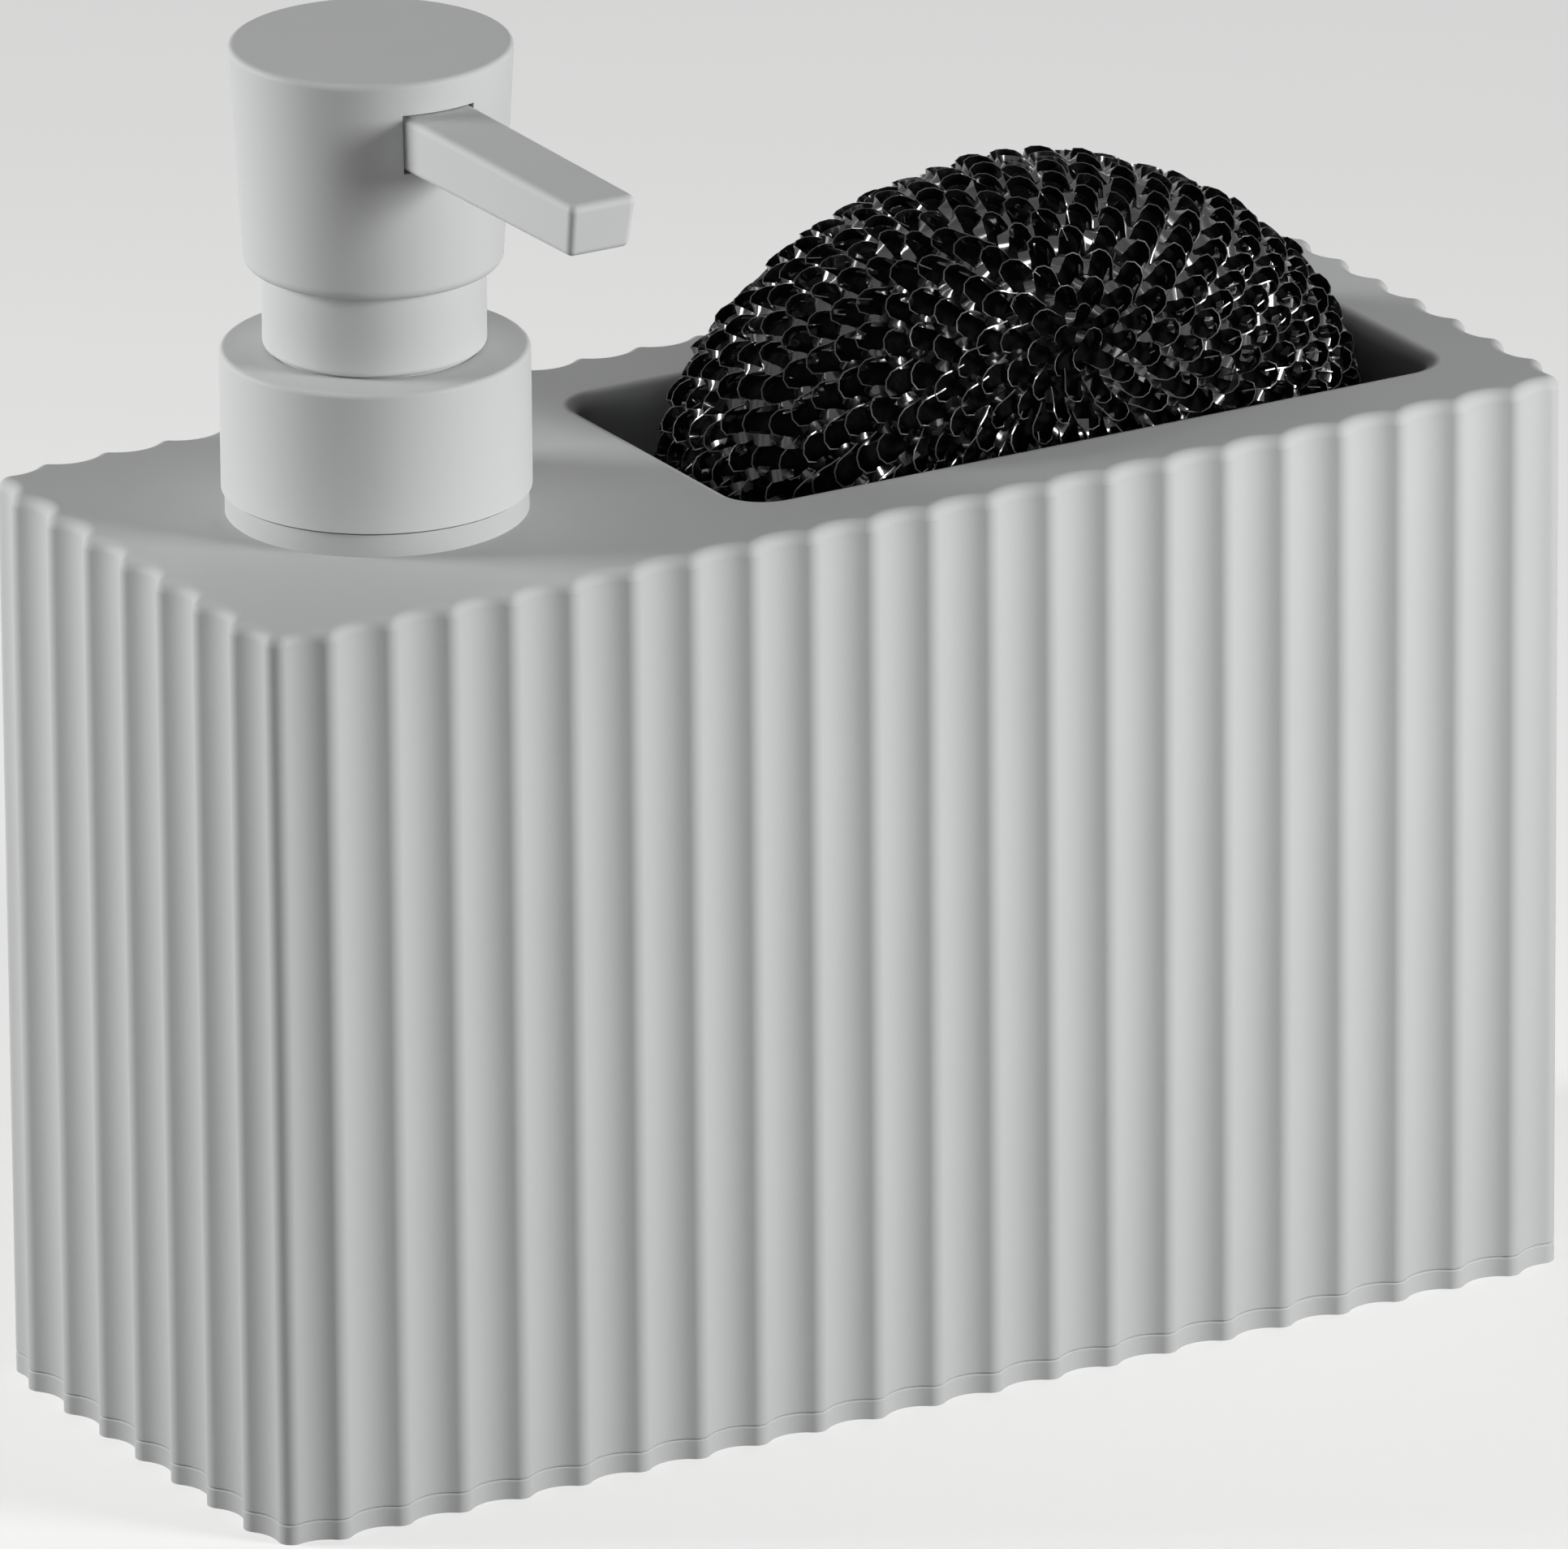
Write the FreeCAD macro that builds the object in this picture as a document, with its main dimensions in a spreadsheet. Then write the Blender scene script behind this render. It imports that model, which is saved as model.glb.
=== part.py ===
"""Soap pump caddy: a fluted moulded tank with a lotion pump and a compartment for a scourer.

The origin is the middle of the underside. +X runs along the long side from the pump to the
compartment, -Y is the long front face that the spout points over, +Z is up. Millimetres.
"""
import FreeCAD, Part
import math
import os
import Sketcher
from FreeCAD import Vector

# Driving sizes, grouped by the piece that they belong to. Heights are lengths, not levels.
SIZES = {
    # Body: a rounded rectangle with concave flutes between rounded ridges
    "body_length": 177.0,
    "body_width": 69.0,
    "deck_height": 111.5,
    "corner_radius": 6.5,
    "corner_land": 8.6,
    "flute_depth": 1.4,
    "ridge_radius": 1.6,
    "deck_edge_radius": 1.5,
    "seam_radius": 0.25,
    "wall": 2.0,
    "deck_thickness": 2.5,
    "tank_corner_radius": 5.0,
    # Base plate
    "base_thickness": 2.4,
    "base_rim_height": 4.0,
    "base_rim_wall": 1.6,
    "base_rim_clearance": 0.15,
    # Scourer compartment
    "pocket_pump_distance": 37.3,
    "pocket_width": 42.8,
    "pocket_depth": 41.0,
    "pocket_end_land": 11.3,
    "pocket_corner_radius": 4.5,
    "pocket_floor_radius": 3.0,
    "pocket_wall": 2.0,
    "pocket_rim_radius": 1.8,
    # Boss and neck for the pump
    "pump_end_distance": 34.0,
    "boss_radius": 17.65,
    "boss_height": 2.7,
    "neck_radius": 12.2,
    "neck_wall": 1.8,
    "neck_height": 13.7,
    # Collar
    "collar_radius": 18.05,
    "collar_gap": 0.3,
    "collar_wall": 1.85,
    "collar_top_thickness": 1.6,
    "collar_edge_radius": 0.6,
    "collar_hole_clearance": 0.3,
    # Threaded ring inside the collar
    "thread_clearance": 1.2,
    "thread_ring_fit": 0.05,
    "thread_ring_setback": 0.8,
    "thread_ring_lip": 1.3,
    # Flange stack on the neck
    "gasket_thickness": 0.8,
    "flange_radius": 13.1,
    "flange_thickness": 1.2,
    "flange_play": 0.1,
    # Guide sleeve
    "sleeve_radius": 13.0,
    "sleeve_wall": 1.4,
    "sleeve_neck_radius": 12.1,
    "sleeve_seat_gap": 0.2,
    "sleeve_edge_radius": 0.8,
    "sleeve_top_thickness": 1.4,
    "guide_wall": 1.6,
    "guide_clearance": 0.3,
    "guide_depth": 3.4,
    # Barrel
    "barrel_radius": 7.0,
    "barrel_bore_radius": 5.75,
    "barrel_length": 42.0,
    "chamber_radius": 3.6,
    "chamber_wall": 1.6,
    "seat_thickness": 1.5,
    "seat_hole_radius": 1.9,
    "socket_wall": 1.7,
    "socket_depth": 10.5,
    "vent_radius": 0.6,
    "vent_drop": 3.0,
    # Dip tube
    "tube_radius": 2.5,
    "tube_bore_radius": 1.75,
    "tube_fit": 0.05,
    "tube_floor_gap": 3.6,
    "tube_cut_angle": 30.0,
    # Inlet valve
    "inlet_ball_radius": 2.5,
    "inlet_ball_lift": 1.5,
    "ball_gap": 0.05,
    "ball_stop_gap": 0.3,
    "cage_fit": 0.1,
    "cage_thickness": 2.0,
    "cage_hole_radius": 1.8,
    "spring_boss_height": 2.5,
    "spring_boss_clearance": 0.35,
    # Return spring
    "spring_radius": 4.3,
    "spring_wire": 0.9,
    "spring_seat_gap": 0.1,
    # Piston, stem and plug
    "stem_radius": 3.4,
    "stem_bore_radius": 1.6,
    "stem_fit": 0.05,
    "piston_fit": 0.05,
    "piston_length": 7.2,
    "piston_lip_length": 1.2,
    "piston_waist": 0.8,
    "piston_stop_gap": 0.4,
    "piston_seat_gap": 0.05,
    "plug_radius": 4.9,
    "plug_thickness": 2.4,
    "plug_spigot_length": 3.0,
    "plug_bore_radius": 0.8,
    # Head
    "press_stroke": 9.0,
    "press_clearance": 0.6,
    "head_stop_gap": 1.1,
    "head_height": 26.7,
    "head_top_radius": 16.55,
    "head_bottom_radius": 15.0,
    "head_wall": 1.65,
    "head_top_thickness": 1.8,
    "head_top_edge_radius": 0.7,
    "head_bottom_edge_radius": 1.4,
    # Core inside the head
    "core_plate_radius": 13.2,
    "core_plate_thickness": 1.2,
    "core_hub_radius": 6.0,
    "core_hub_length": 8.6,
    "core_socket_depth": 4.2,
    "core_chamber_radius": 2.6,
    "stem_insertion": 4.2,
    # Outlet valve
    "outlet_ball_radius": 1.9,
    "outlet_ball_lift": 1.0,
    # Spout
    "spout_reach": 53.6,
    "spout_root": 4.8,
    "spout_drop": 4.0,
    "spout_width": 9.2,
    "spout_tip_width": 8.7,
    "spout_tip_slant": 11.0,
    "spout_taper": 0.3,
    "spout_root_height": 7.0,
    "spout_tip_height": 6.6,
    "spout_edge_radius": 0.9,
    "spout_window_gap": 0.15,
    "spout_bore_radius": 1.5,
    "spout_outlet_radius": 1.8,
    "spout_tip_wall": 2.0,
    # Scourer
    "scourer_rise": 27.5,
    "scourer_side_gap": 0.5,
    "scourer_floor_gap": 0.3,
    "scourer_end_gap": 0.7,
    "scourer_pump_gap": 2.7,
    "scourer_end_radius": 27.0,
    "scourer_face_land": 1.2,
    "scourer_flat": 1.0,
    # Every cut runs this far past the face that it opens
    "overrun": 1.0,
}

LONG_RIDGES = 21
SHORT_RIDGES = 7
SPRING_TURNS = 7
QUARTERS = 4

doc = FreeCAD.newDocument("soap_pump_caddy")
sheet = doc.addObject("Spreadsheet::Sheet", "sizes")
for row, (alias, number) in enumerate(SIZES.items(), start=1):
    sheet.set("A%d" % row, alias.replace("_", " "))
    sheet.set("B%d" % row, str(number))
    sheet.setAlias("B%d" % row, alias)
doc.recompute()


class Size:
    """A length that carries its number and the sheet expression that it comes from."""

    def __init__(self, text, number):
        self.text = text
        self.number = number

    def __add__(self, other):
        return Size("(%s + %s)" % (self.text, other.text), self.number + other.number)

    def __sub__(self, other):
        return Size("(%s - %s)" % (self.text, other.text), self.number - other.number)

    def __mul__(self, factor):
        return Size("(%s * %r)" % (self.text, factor), self.number * factor)

    def __truediv__(self, factor):
        return Size("(%s / %r)" % (self.text, factor), self.number / factor)

    def __neg__(self):
        return Size("(-%s)" % self.text, -self.number)


class Cells:
    """Gives each sheet cell as a Size, by its alias."""

    def __getattr__(self, alias):
        return Size("sizes." + alias, float(getattr(sheet, alias)))


cell = Cells()
ZERO = cell.wall - cell.wall


def bind(item, path, size):
    """Tie a property of an object to the sheet."""
    item.setExpression(path, size.text)


def place(item, x=None, y=None, z=None):
    """Tie the position of an object to the sheet, leaving out what is zero."""
    for letter, size in (("x", x), ("y", y), ("z", z)):
        if size is not None:
            bind(item, "Placement.Base." + letter, size)


def root_difference(long_side, short_side):
    """The third side of a right triangle, from its long side and one short side."""
    text = "sqrt(%s * %s - %s * %s)" % (long_side.text, long_side.text, short_side.text, short_side.text)
    return Size(text, math.sqrt(long_side.number ** 2 - short_side.number ** 2))


def origin_plane(body, role):
    """One of a body's own origin planes."""
    return next(plane for plane in body.Origin.OriginFeatures if plane.Role == role)


def outline(body, name, plane, points):
    """A closed sketch of straight edges through points, each fixed by sheet sizes."""
    sketch = body.newObject("Sketcher::SketchObject", name)
    sketch.AttachmentSupport = (origin_plane(body, plane), [""])
    sketch.MapMode = "FlatFace"
    spots = [Vector(across.number, up.number, 0) for across, up in points]
    for start, end in zip(spots, spots[1:] + spots[:1]):
        sketch.addGeometry(Part.LineSegment(start, end), False)
    for index, (across, up) in enumerate(points):
        following = (index + 1) % len(points)
        sketch.addConstraint(Sketcher.Constraint("Coincident", index, 2, following, 1))
        for kind, size, axis in (("DistanceX", across, -2), ("DistanceY", up, -1)):
            if size is ZERO:
                sketch.addConstraint(Sketcher.Constraint("PointOnObject", index, 1, axis))
                continue
            datum = Sketcher.Constraint(kind, -1, 1, index, 1, size.number)
            bind(sketch, "Constraints[%d]" % sketch.addConstraint(datum), size)
    return sketch


def rounded(body, base, name, size, chosen):
    """Round the edges of a body's last feature that chosen() picks."""
    doc.recompute()
    names = ["Edge%d" % (i + 1) for i, edge in enumerate(base.Shape.Edges) if chosen(edge)]
    fillet = body.newObject("PartDesign::Fillet", name)
    fillet.Base = (base, names)
    bind(fillet, "Radius", size)
    body.Tip = fillet
    return fillet


def circle_at(radius, level):
    """Picks the circular edge of a turned piece at a radius and a height."""
    def chosen(edge):
        round_edge = isinstance(edge.Curve, Part.Circle)
        near = edge.CenterOfMass.z - level.number
        return round_edge and math.isclose(edge.Curve.Radius, radius.number) and abs(near) < TOUCH
    return chosen


def along_z(edge):
    """Picks the upright edges."""
    return isinstance(edge.Curve, Part.Line) and abs(edge.Curve.Direction.z) > 1 - TOUCH


def lies_at(edge, level):
    """Tells whether the whole edge lies at a height."""
    return max(abs(edge.BoundBox.ZMin - level), abs(edge.BoundBox.ZMax - level)) < TOUCH


def turned(label, profile):
    """A body turned about the pump axis from a closed (radius, height) profile."""
    body = doc.addObject("PartDesign::Body", label)
    sketch = outline(body, label + "_profile", "XZ_Plane", profile)
    turn = body.newObject("PartDesign::Revolution", label + "_turn")
    turn.Profile = sketch
    turn.ReferenceAxis = (sketch, ["V_Axis"])
    turn.Angle = FULL_TURN
    body.Tip = turn
    place(body, x=pump_x)
    return body


def rounded_box(label, low, high, corner, floor=None):
    """A box between two corners with round upright edges and, if asked, a round floor edge."""
    body = doc.addObject("PartDesign::Body", label)
    box = body.newObject("PartDesign::AdditiveBox", label + "_box")
    for name, start, end in zip(("Length", "Width", "Height"), low, high):
        bind(box, name, end - start)
    last = rounded(body, box, label + "_corners", corner, along_z)
    if floor is not None:
        rounded(body, last, label + "_floor", floor, lambda edge: edge.BoundBox.ZMax < TOUCH)
    place(body, *low)
    return body


def cut(label, base, tool):
    """One solid with another taken away."""
    result = doc.addObject("Part::Cut", label)
    result.Base = base
    result.Tool = tool
    return result


def fused(label, *pieces):
    """Several solids joined into one moulding."""
    result = doc.addObject("Part::MultiFuse", label)
    result.Shapes = list(pieces)
    return result


def softened(label, base, size, chosen):
    """A finished solid with the edges that chosen() picks rounded."""
    doc.recompute()
    result = doc.addObject("Part::Fillet", label)
    result.Base = base
    picked = [i + 1 for i, edge in enumerate(base.Shape.Edges) if chosen(edge)]
    result.Edges = [(number, size.number, size.number) for number in picked]
    return result


def rod(label, radius, length, x=None, y=None, z=None, forward=False):
    """A cylinder along +Z, or along -Y when it points forward."""
    result = doc.addObject("Part::Cylinder", label)
    bind(result, "Radius", radius)
    bind(result, "Height", length)
    if forward:
        result.Placement.Rotation = FreeCAD.Rotation(Vector(1, 0, 0), FULL_TURN / QUARTERS)
    place(result, x, y, z)
    return result


def ball(label, radius, level):
    """A valve ball on the pump axis."""
    result = doc.addObject("Part::Sphere", label)
    bind(result, "Radius", radius)
    place(result, x=pump_x, z=level)
    return result


def ridge_centres():
    """Centres of the ridge roundings, anticlockwise round the body from the front left."""
    radius = sheet.ridge_radius
    half_length = sheet.body_length / 2
    half_width = sheet.body_width / 2
    front = []
    for i in range(LONG_RIDGES):
        share = 2 * i / (LONG_RIDGES - 1) - 1
        front.append(Vector(share * (half_length - sheet.corner_land), radius - half_width, 0))
    right = []
    for i in range(SHORT_RIDGES):
        share = 2 * i / (SHORT_RIDGES - 1) - 1
        right.append(Vector(half_length - radius, share * (half_width - sheet.corner_land), 0))
    bend = (sheet.corner_radius - radius) * math.sqrt(0.5)
    corner_x = half_length - sheet.corner_radius + bend
    corner_y = half_width - sheet.corner_radius + bend
    half = front + [Vector(corner_x, -corner_y, 0)] + right + [Vector(corner_x, corner_y, 0)]
    return half + [-centre for centre in half]


def fluted_face():
    """The body's outline: concave flutes that run smoothly into rounded ridges."""
    centres = ridge_centres()
    radius = sheet.ridge_radius
    pitch = (sheet.body_length - 2 * sheet.corner_land) / (LONG_RIDGES - 1)
    reach = ((pitch / 2) ** 2 + sheet.flute_depth ** 2) / (2 * sheet.flute_depth)
    flutes = []
    for here, there in zip(centres, centres[1:] + centres[:1]):
        step = there - here
        outward = Vector(step.y, -step.x, 0).normalize()
        rise = math.sqrt(reach ** 2 - (step.Length / 2) ** 2)
        middle = (here + there) / 2 + outward * rise
        flutes.append((middle, middle - outward * (reach - radius)))
    edges = []
    for i, here in enumerate(centres):
        there = centres[(i + 1) % len(centres)]
        before = (flutes[i - 1][0] - here).normalize()
        after = (flutes[i][0] - here).normalize()
        arrive = (flutes[i][0] - there).normalize()
        crest = here + (before + after).normalize() * radius
        edges.append(Part.Arc(here + before * radius, crest, here + after * radius).toShape())
        edges.append(Part.Arc(here + after * radius, flutes[i][1], there + arrive * radius).toShape())
    return Part.Face(Part.Wire(edges))


def fluted_block(label, bottom, top, top_radius, bottom_radius=None):
    """A prism of the fluted outline with a round top edge and, if asked, a round bottom edge."""
    block = doc.addObject("Part::Feature", label)
    face = fluted_face()
    face.translate(Vector(0, 0, bottom.number))
    shape = face.extrude(Vector(0, 0, top.number - bottom.number))
    for level, radius in ((top, top_radius), (bottom, bottom_radius)):
        if radius is not None:
            rim = [edge for edge in shape.Edges if lies_at(edge, level.number)]
            shape = shape.makeFillet(radius.number, rim)
    block.Shape = shape
    return block


def spout_bar(label, gap):
    """The spout's tapered bar, or with a gap the tool that cuts its window."""
    body = doc.addObject("PartDesign::Body", label)
    width = cell.spout_width + gap * 2
    high = cell.spout_root_height + gap * 2
    tip_rise = cell.spout_root_height - cell.spout_tip_height
    tip_inset = (cell.spout_width - cell.spout_tip_width) / 2
    taper = cell.spout_taper
    sections = []
    for name, low, inset in (("root", ZERO, ZERO), ("tip", tip_rise, tip_inset)):
        points = [(inset + taper, low), (width - inset - taper, low), (width - inset, high), (inset, high)]
        sections.append(outline(body, "%s_%s" % (label, name), "XZ_Plane", points))
    tip = sections[1]
    lean = FreeCAD.Rotation(Vector(1, 0, 0), sheet.spout_tip_slant)
    tip.AttachmentOffset = FreeCAD.Placement(Vector(), lean)
    bind(tip, "AttachmentOffset.Base.z", cell.spout_reach - cell.spout_root - tip_setback)
    loft = body.newObject("PartDesign::AdditiveLoft", label + "_loft")
    loft.Profile = sections[0]
    loft.Sections = [(sections[1], [""])]
    loft.Ruled = True
    body.Tip = loft
    place(body, pump_x - width / 2, -cell.spout_root, spout_bottom - gap)
    return body, loft


def two_arcs(start, start_way, end, end_way):
    """Two arcs that leave start and reach end along the given unit directions."""
    chord = end - start
    ways = start_way + end_way
    square = 2 * (start_way.dot(end_way) - 1)
    half = -chord.dot(ways)
    reach = (-half - math.sqrt(half ** 2 - square * chord.dot(chord))) / square
    joint = (start + end + (start_way - end_way) * reach) / 2
    arcs = []
    first_arc = (start, start + start_way * reach, joint)
    last_arc = (joint, end - end_way * reach, end)
    for first, knee, last in (first_arc, last_arc):
        weight = (last - first).Length / (2 * reach)
        middle = (first + knee * (2 * weight) + last) / (2 + 2 * weight)
        arcs.append(Part.Arc(first, middle, last).toShape())
    return arcs


def spring(label, bottom, top):
    """A compression spring: one round wire along a helix of smooth arcs about the pump axis."""
    radius = sheet.spring_radius
    wire_radius = sheet.spring_wire / 2
    rise = (top.number - bottom.number) / (SPRING_TURNS * QUARTERS)
    slope = rise / (math.pi / 2)
    spots = []
    for step in range(SPRING_TURNS * QUARTERS + 1):
        angle = step * math.pi / 2
        spot = Vector(radius * math.cos(angle), radius * math.sin(angle), bottom.number + step * rise)
        way = Vector(-radius * math.sin(angle), radius * math.cos(angle), slope).normalize()
        spots.append((spot, way))
    edges = []
    for (start, start_way), (end, end_way) in zip(spots, spots[1:]):
        edges += two_arcs(start, start_way, end, end_way)
    section = Part.Wire([Part.makeCircle(wire_radius, *spots[0])])
    coil = doc.addObject("Part::Feature", label)
    coil.Shape = Part.Wire(edges).makePipeShell([section], True, False)
    place(coil, x=pump_x)
    print("least gap in the spring: %.2f mm" % (rise * QUARTERS - sheet.spring_wire))
    return coil


# Distances below this count as touching when an edge is picked
TOUCH = 1e-4
FULL_TURN = 360

# Levels of the pump, each seated on the one below
pump_x = cell.pump_end_distance - cell.body_length / 2
deck = cell.deck_height
boss_top = deck + cell.boss_height
neck_top = deck + cell.neck_height
gasket_top = neck_top + cell.gasket_thickness
flange_top = gasket_top + cell.flange_thickness
sleeve_flange_top = flange_top + cell.flange_thickness
lip_bottom = sleeve_flange_top + cell.flange_play
collar_bottom = boss_top + cell.collar_gap
collar_under = lip_bottom + cell.thread_ring_lip
collar_top = collar_under + cell.collar_top_thickness
head_bottom = collar_top + cell.press_stroke + cell.head_stop_gap
head_top = head_bottom + cell.head_height
head_ceiling = head_top - cell.head_top_thickness
core_plate_bottom = head_ceiling - cell.core_plate_thickness
core_bottom = core_plate_bottom - cell.core_hub_length
stem_top = core_bottom + cell.stem_insertion
sleeve_top = core_bottom - cell.press_stroke - cell.press_clearance
guide_bottom = gasket_top - cell.guide_depth
piston_top = guide_bottom - cell.piston_stop_gap
piston_bottom = piston_top - cell.piston_length
plug_top = piston_bottom - cell.piston_seat_gap
plug_bottom = plug_top - cell.plug_thickness
barrel_floor = gasket_top - cell.barrel_length
cage_top = barrel_floor + cell.cage_thickness
inlet_seat_rise = root_difference(cell.inlet_ball_radius, cell.seat_hole_radius) + cell.ball_gap
inlet_travel = cell.inlet_ball_radius + cell.inlet_ball_lift + cell.ball_stop_gap
seat_top = barrel_floor - inlet_seat_rise - inlet_travel
seat_bottom = seat_top - cell.seat_thickness
outlet_seat_rise = root_difference(cell.outlet_ball_radius, cell.stem_bore_radius) + cell.ball_gap
outlet_level = stem_top + outlet_seat_rise
spout_top = head_top - cell.spout_drop
spout_bottom = spout_top - cell.spout_root_height
spout_bore_level = spout_top - cell.spout_tip_height / 2
tip_setback = cell.spout_root_height * math.sin(math.radians(sheet.spout_tip_slant))
outlet_reach = cell.spout_reach - tip_setback - cell.spout_tip_wall - cell.spout_outlet_radius

# Radii shared by pieces that fit into each other
neck_bore = cell.neck_radius - cell.neck_wall
collar_hole = cell.sleeve_neck_radius + cell.collar_hole_clearance
collar_bore = cell.collar_radius - cell.collar_wall
guide_bore = cell.stem_radius + cell.guide_clearance
stem_socket = cell.stem_radius + cell.stem_fit
spring_boss = cell.spring_radius - cell.spring_wire / 2 - cell.spring_boss_clearance
piston_radius = cell.barrel_bore_radius - cell.piston_fit

# Tank and compartment
tank_x = cell.body_length / 2 - cell.flute_depth - cell.wall
tank_y = cell.body_width / 2 - cell.flute_depth - cell.wall
pocket_right = cell.body_length / 2 - cell.pocket_end_land
pocket_left = pump_x + cell.pocket_pump_distance
pocket_half = cell.pocket_width / 2
pocket_floor = deck - cell.pocket_depth


def body_shell():
    """Fluted case with its deck, the compartment, and the boss and neck that carry the pump."""
    block = fluted_block("fluted_case", cell.base_thickness, deck, cell.deck_edge_radius, cell.seam_radius)
    tank = rounded_box(
        "tank_space",
        (-tank_x, -tank_y, cell.base_thickness - cell.overrun),
        (tank_x, tank_y, deck - cell.deck_thickness),
        cell.tank_corner_radius,
    )
    wall = cell.pocket_wall
    tub = rounded_box(
        "compartment_tub",
        (pocket_left - wall, -pocket_half - wall, pocket_floor - wall),
        (pocket_right + wall, pocket_half + wall, deck),
        cell.pocket_corner_radius + wall,
        cell.pocket_floor_radius + wall,
    )
    space = rounded_box(
        "compartment_space",
        (pocket_left, -pocket_half, pocket_floor),
        (pocket_right, pocket_half, deck + cell.overrun),
        cell.pocket_corner_radius,
        cell.pocket_floor_radius,
    )
    hollow = cut("hollow_case", block, cut("soap_space", tank, tub))
    seat = deck - cell.deck_thickness
    boss = rod("boss", cell.boss_radius, boss_top - seat, x=pump_x, z=seat)
    neck = rod("neck", cell.neck_radius, neck_top - seat, x=pump_x, z=seat)
    mouth = rod("mouth", neck_bore, neck_top - seat + cell.overrun * 2, x=pump_x, z=seat - cell.overrun)
    solid = fused("case_and_neck", hollow, boss, neck)
    open_case = cut("open_case", solid, fused("openings", space, mouth))
    return softened("body_shell", open_case, cell.pocket_rim_radius, compartment_rim)


def compartment_rim(edge):
    """Picks the compartment's edge in the deck."""
    box = edge.BoundBox
    inside = box.XMin > pocket_left.number - TOUCH and box.XMax < pocket_right.number + TOUCH
    return inside and lies_at(edge, deck.number)


def base_plate():
    """Fluted plate under the tank, with a rim that centres it in the case."""
    plate = fluted_block("fluted_plate", ZERO, cell.base_thickness, cell.seam_radius)
    gap = cell.base_rim_clearance
    inset = gap + cell.base_rim_wall
    top = cell.base_thickness + cell.base_rim_height
    rim = rounded_box(
        "rim_outside",
        (gap - tank_x, gap - tank_y, cell.base_thickness / 2),
        (tank_x - gap, tank_y - gap, top),
        cell.tank_corner_radius - gap,
    )
    inside = rounded_box(
        "rim_inside",
        (inset - tank_x, inset - tank_y, cell.base_thickness),
        (tank_x - inset, tank_y - inset, top + cell.overrun),
        cell.tank_corner_radius - inset,
    )
    return fused("base_plate", plate, cut("rim", rim, inside))


def collar_cover():
    """Smooth collar with a hole in its top for the guide sleeve."""
    body = turned("collar_cover", [
        (collar_bore, collar_bottom),
        (cell.collar_radius, collar_bottom),
        (cell.collar_radius, collar_top),
        (collar_hole, collar_top),
        (collar_hole, collar_under),
        (collar_bore, collar_under),
    ])
    top = circle_at(cell.collar_radius, collar_top)
    rounded(body, body.Tip, "collar_edge", cell.collar_edge_radius, top)
    return body


def collar_thread_ring():
    """Threaded ring held in the collar, with a lip that clamps the pump's flanges on the neck."""
    bore = cell.neck_radius + cell.thread_clearance
    outside = collar_bore - cell.thread_ring_fit
    bottom = collar_bottom + cell.thread_ring_setback
    return turned("collar_thread_ring", [
        (bore, bottom),
        (outside, bottom),
        (outside, collar_under),
        (collar_hole, collar_under),
        (collar_hole, lip_bottom),
        (bore, lip_bottom),
    ])


def flange_gasket():
    """Flat washer between the neck and the barrel's flange."""
    return turned("flange_gasket", [
        (neck_bore, neck_top),
        (cell.flange_radius, neck_top),
        (cell.flange_radius, gasket_top),
        (neck_bore, gasket_top),
    ])


def guide_sleeve():
    """Sleeve that the head slides on, with a clamped flange and a guide tube for the stem."""
    shoulder = collar_top + cell.sleeve_seat_gap
    roof = sleeve_top - cell.sleeve_top_thickness
    bore = cell.sleeve_radius - cell.sleeve_wall
    neck = cell.sleeve_neck_radius - cell.sleeve_wall
    guide = guide_bore + cell.guide_wall
    body = turned("guide_sleeve", [
        (neck, flange_top),
        (cell.flange_radius, flange_top),
        (cell.flange_radius, sleeve_flange_top),
        (cell.sleeve_neck_radius, sleeve_flange_top),
        (cell.sleeve_neck_radius, shoulder),
        (cell.sleeve_radius, shoulder),
        (cell.sleeve_radius, sleeve_top),
        (guide_bore, sleeve_top),
        (guide_bore, guide_bottom),
        (guide, guide_bottom),
        (guide, roof),
        (bore, roof),
        (bore, shoulder + cell.sleeve_wall),
        (neck, shoulder + cell.sleeve_wall),
    ])
    bottom = circle_at(cell.sleeve_radius, shoulder)
    rounded(body, body.Tip, "sleeve_edge", cell.sleeve_edge_radius, bottom)
    return body


def pump_barrel():
    """Pump cylinder: flange, bore, ball chamber with its seat, and the socket of the dip tube."""
    chamber_outside = cell.chamber_radius + cell.chamber_wall
    socket = cell.tube_radius + cell.tube_fit
    shoulder = barrel_floor - (cell.barrel_radius - cell.barrel_bore_radius)
    socket_bottom = seat_bottom - cell.socket_depth
    body = turned("barrel_body", [
        (socket, socket_bottom),
        (socket + cell.socket_wall, socket_bottom),
        (socket + cell.socket_wall, seat_bottom),
        (chamber_outside, seat_bottom),
        (chamber_outside, shoulder),
        (cell.barrel_radius, shoulder),
        (cell.barrel_radius, gasket_top),
        (cell.flange_radius, gasket_top),
        (cell.flange_radius, flange_top),
        (cell.barrel_bore_radius, flange_top),
        (cell.barrel_bore_radius, barrel_floor),
        (cell.chamber_radius, barrel_floor),
        (cell.chamber_radius, seat_top),
        (cell.seat_hole_radius, seat_top),
        (cell.seat_hole_radius, seat_bottom),
        (socket, seat_bottom),
    ])
    length = cell.barrel_radius + cell.overrun
    vent = rod("vent", cell.vent_radius, length, x=pump_x, z=guide_bottom - cell.vent_drop, forward=True)
    return cut("pump_barrel", body, vent)


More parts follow.
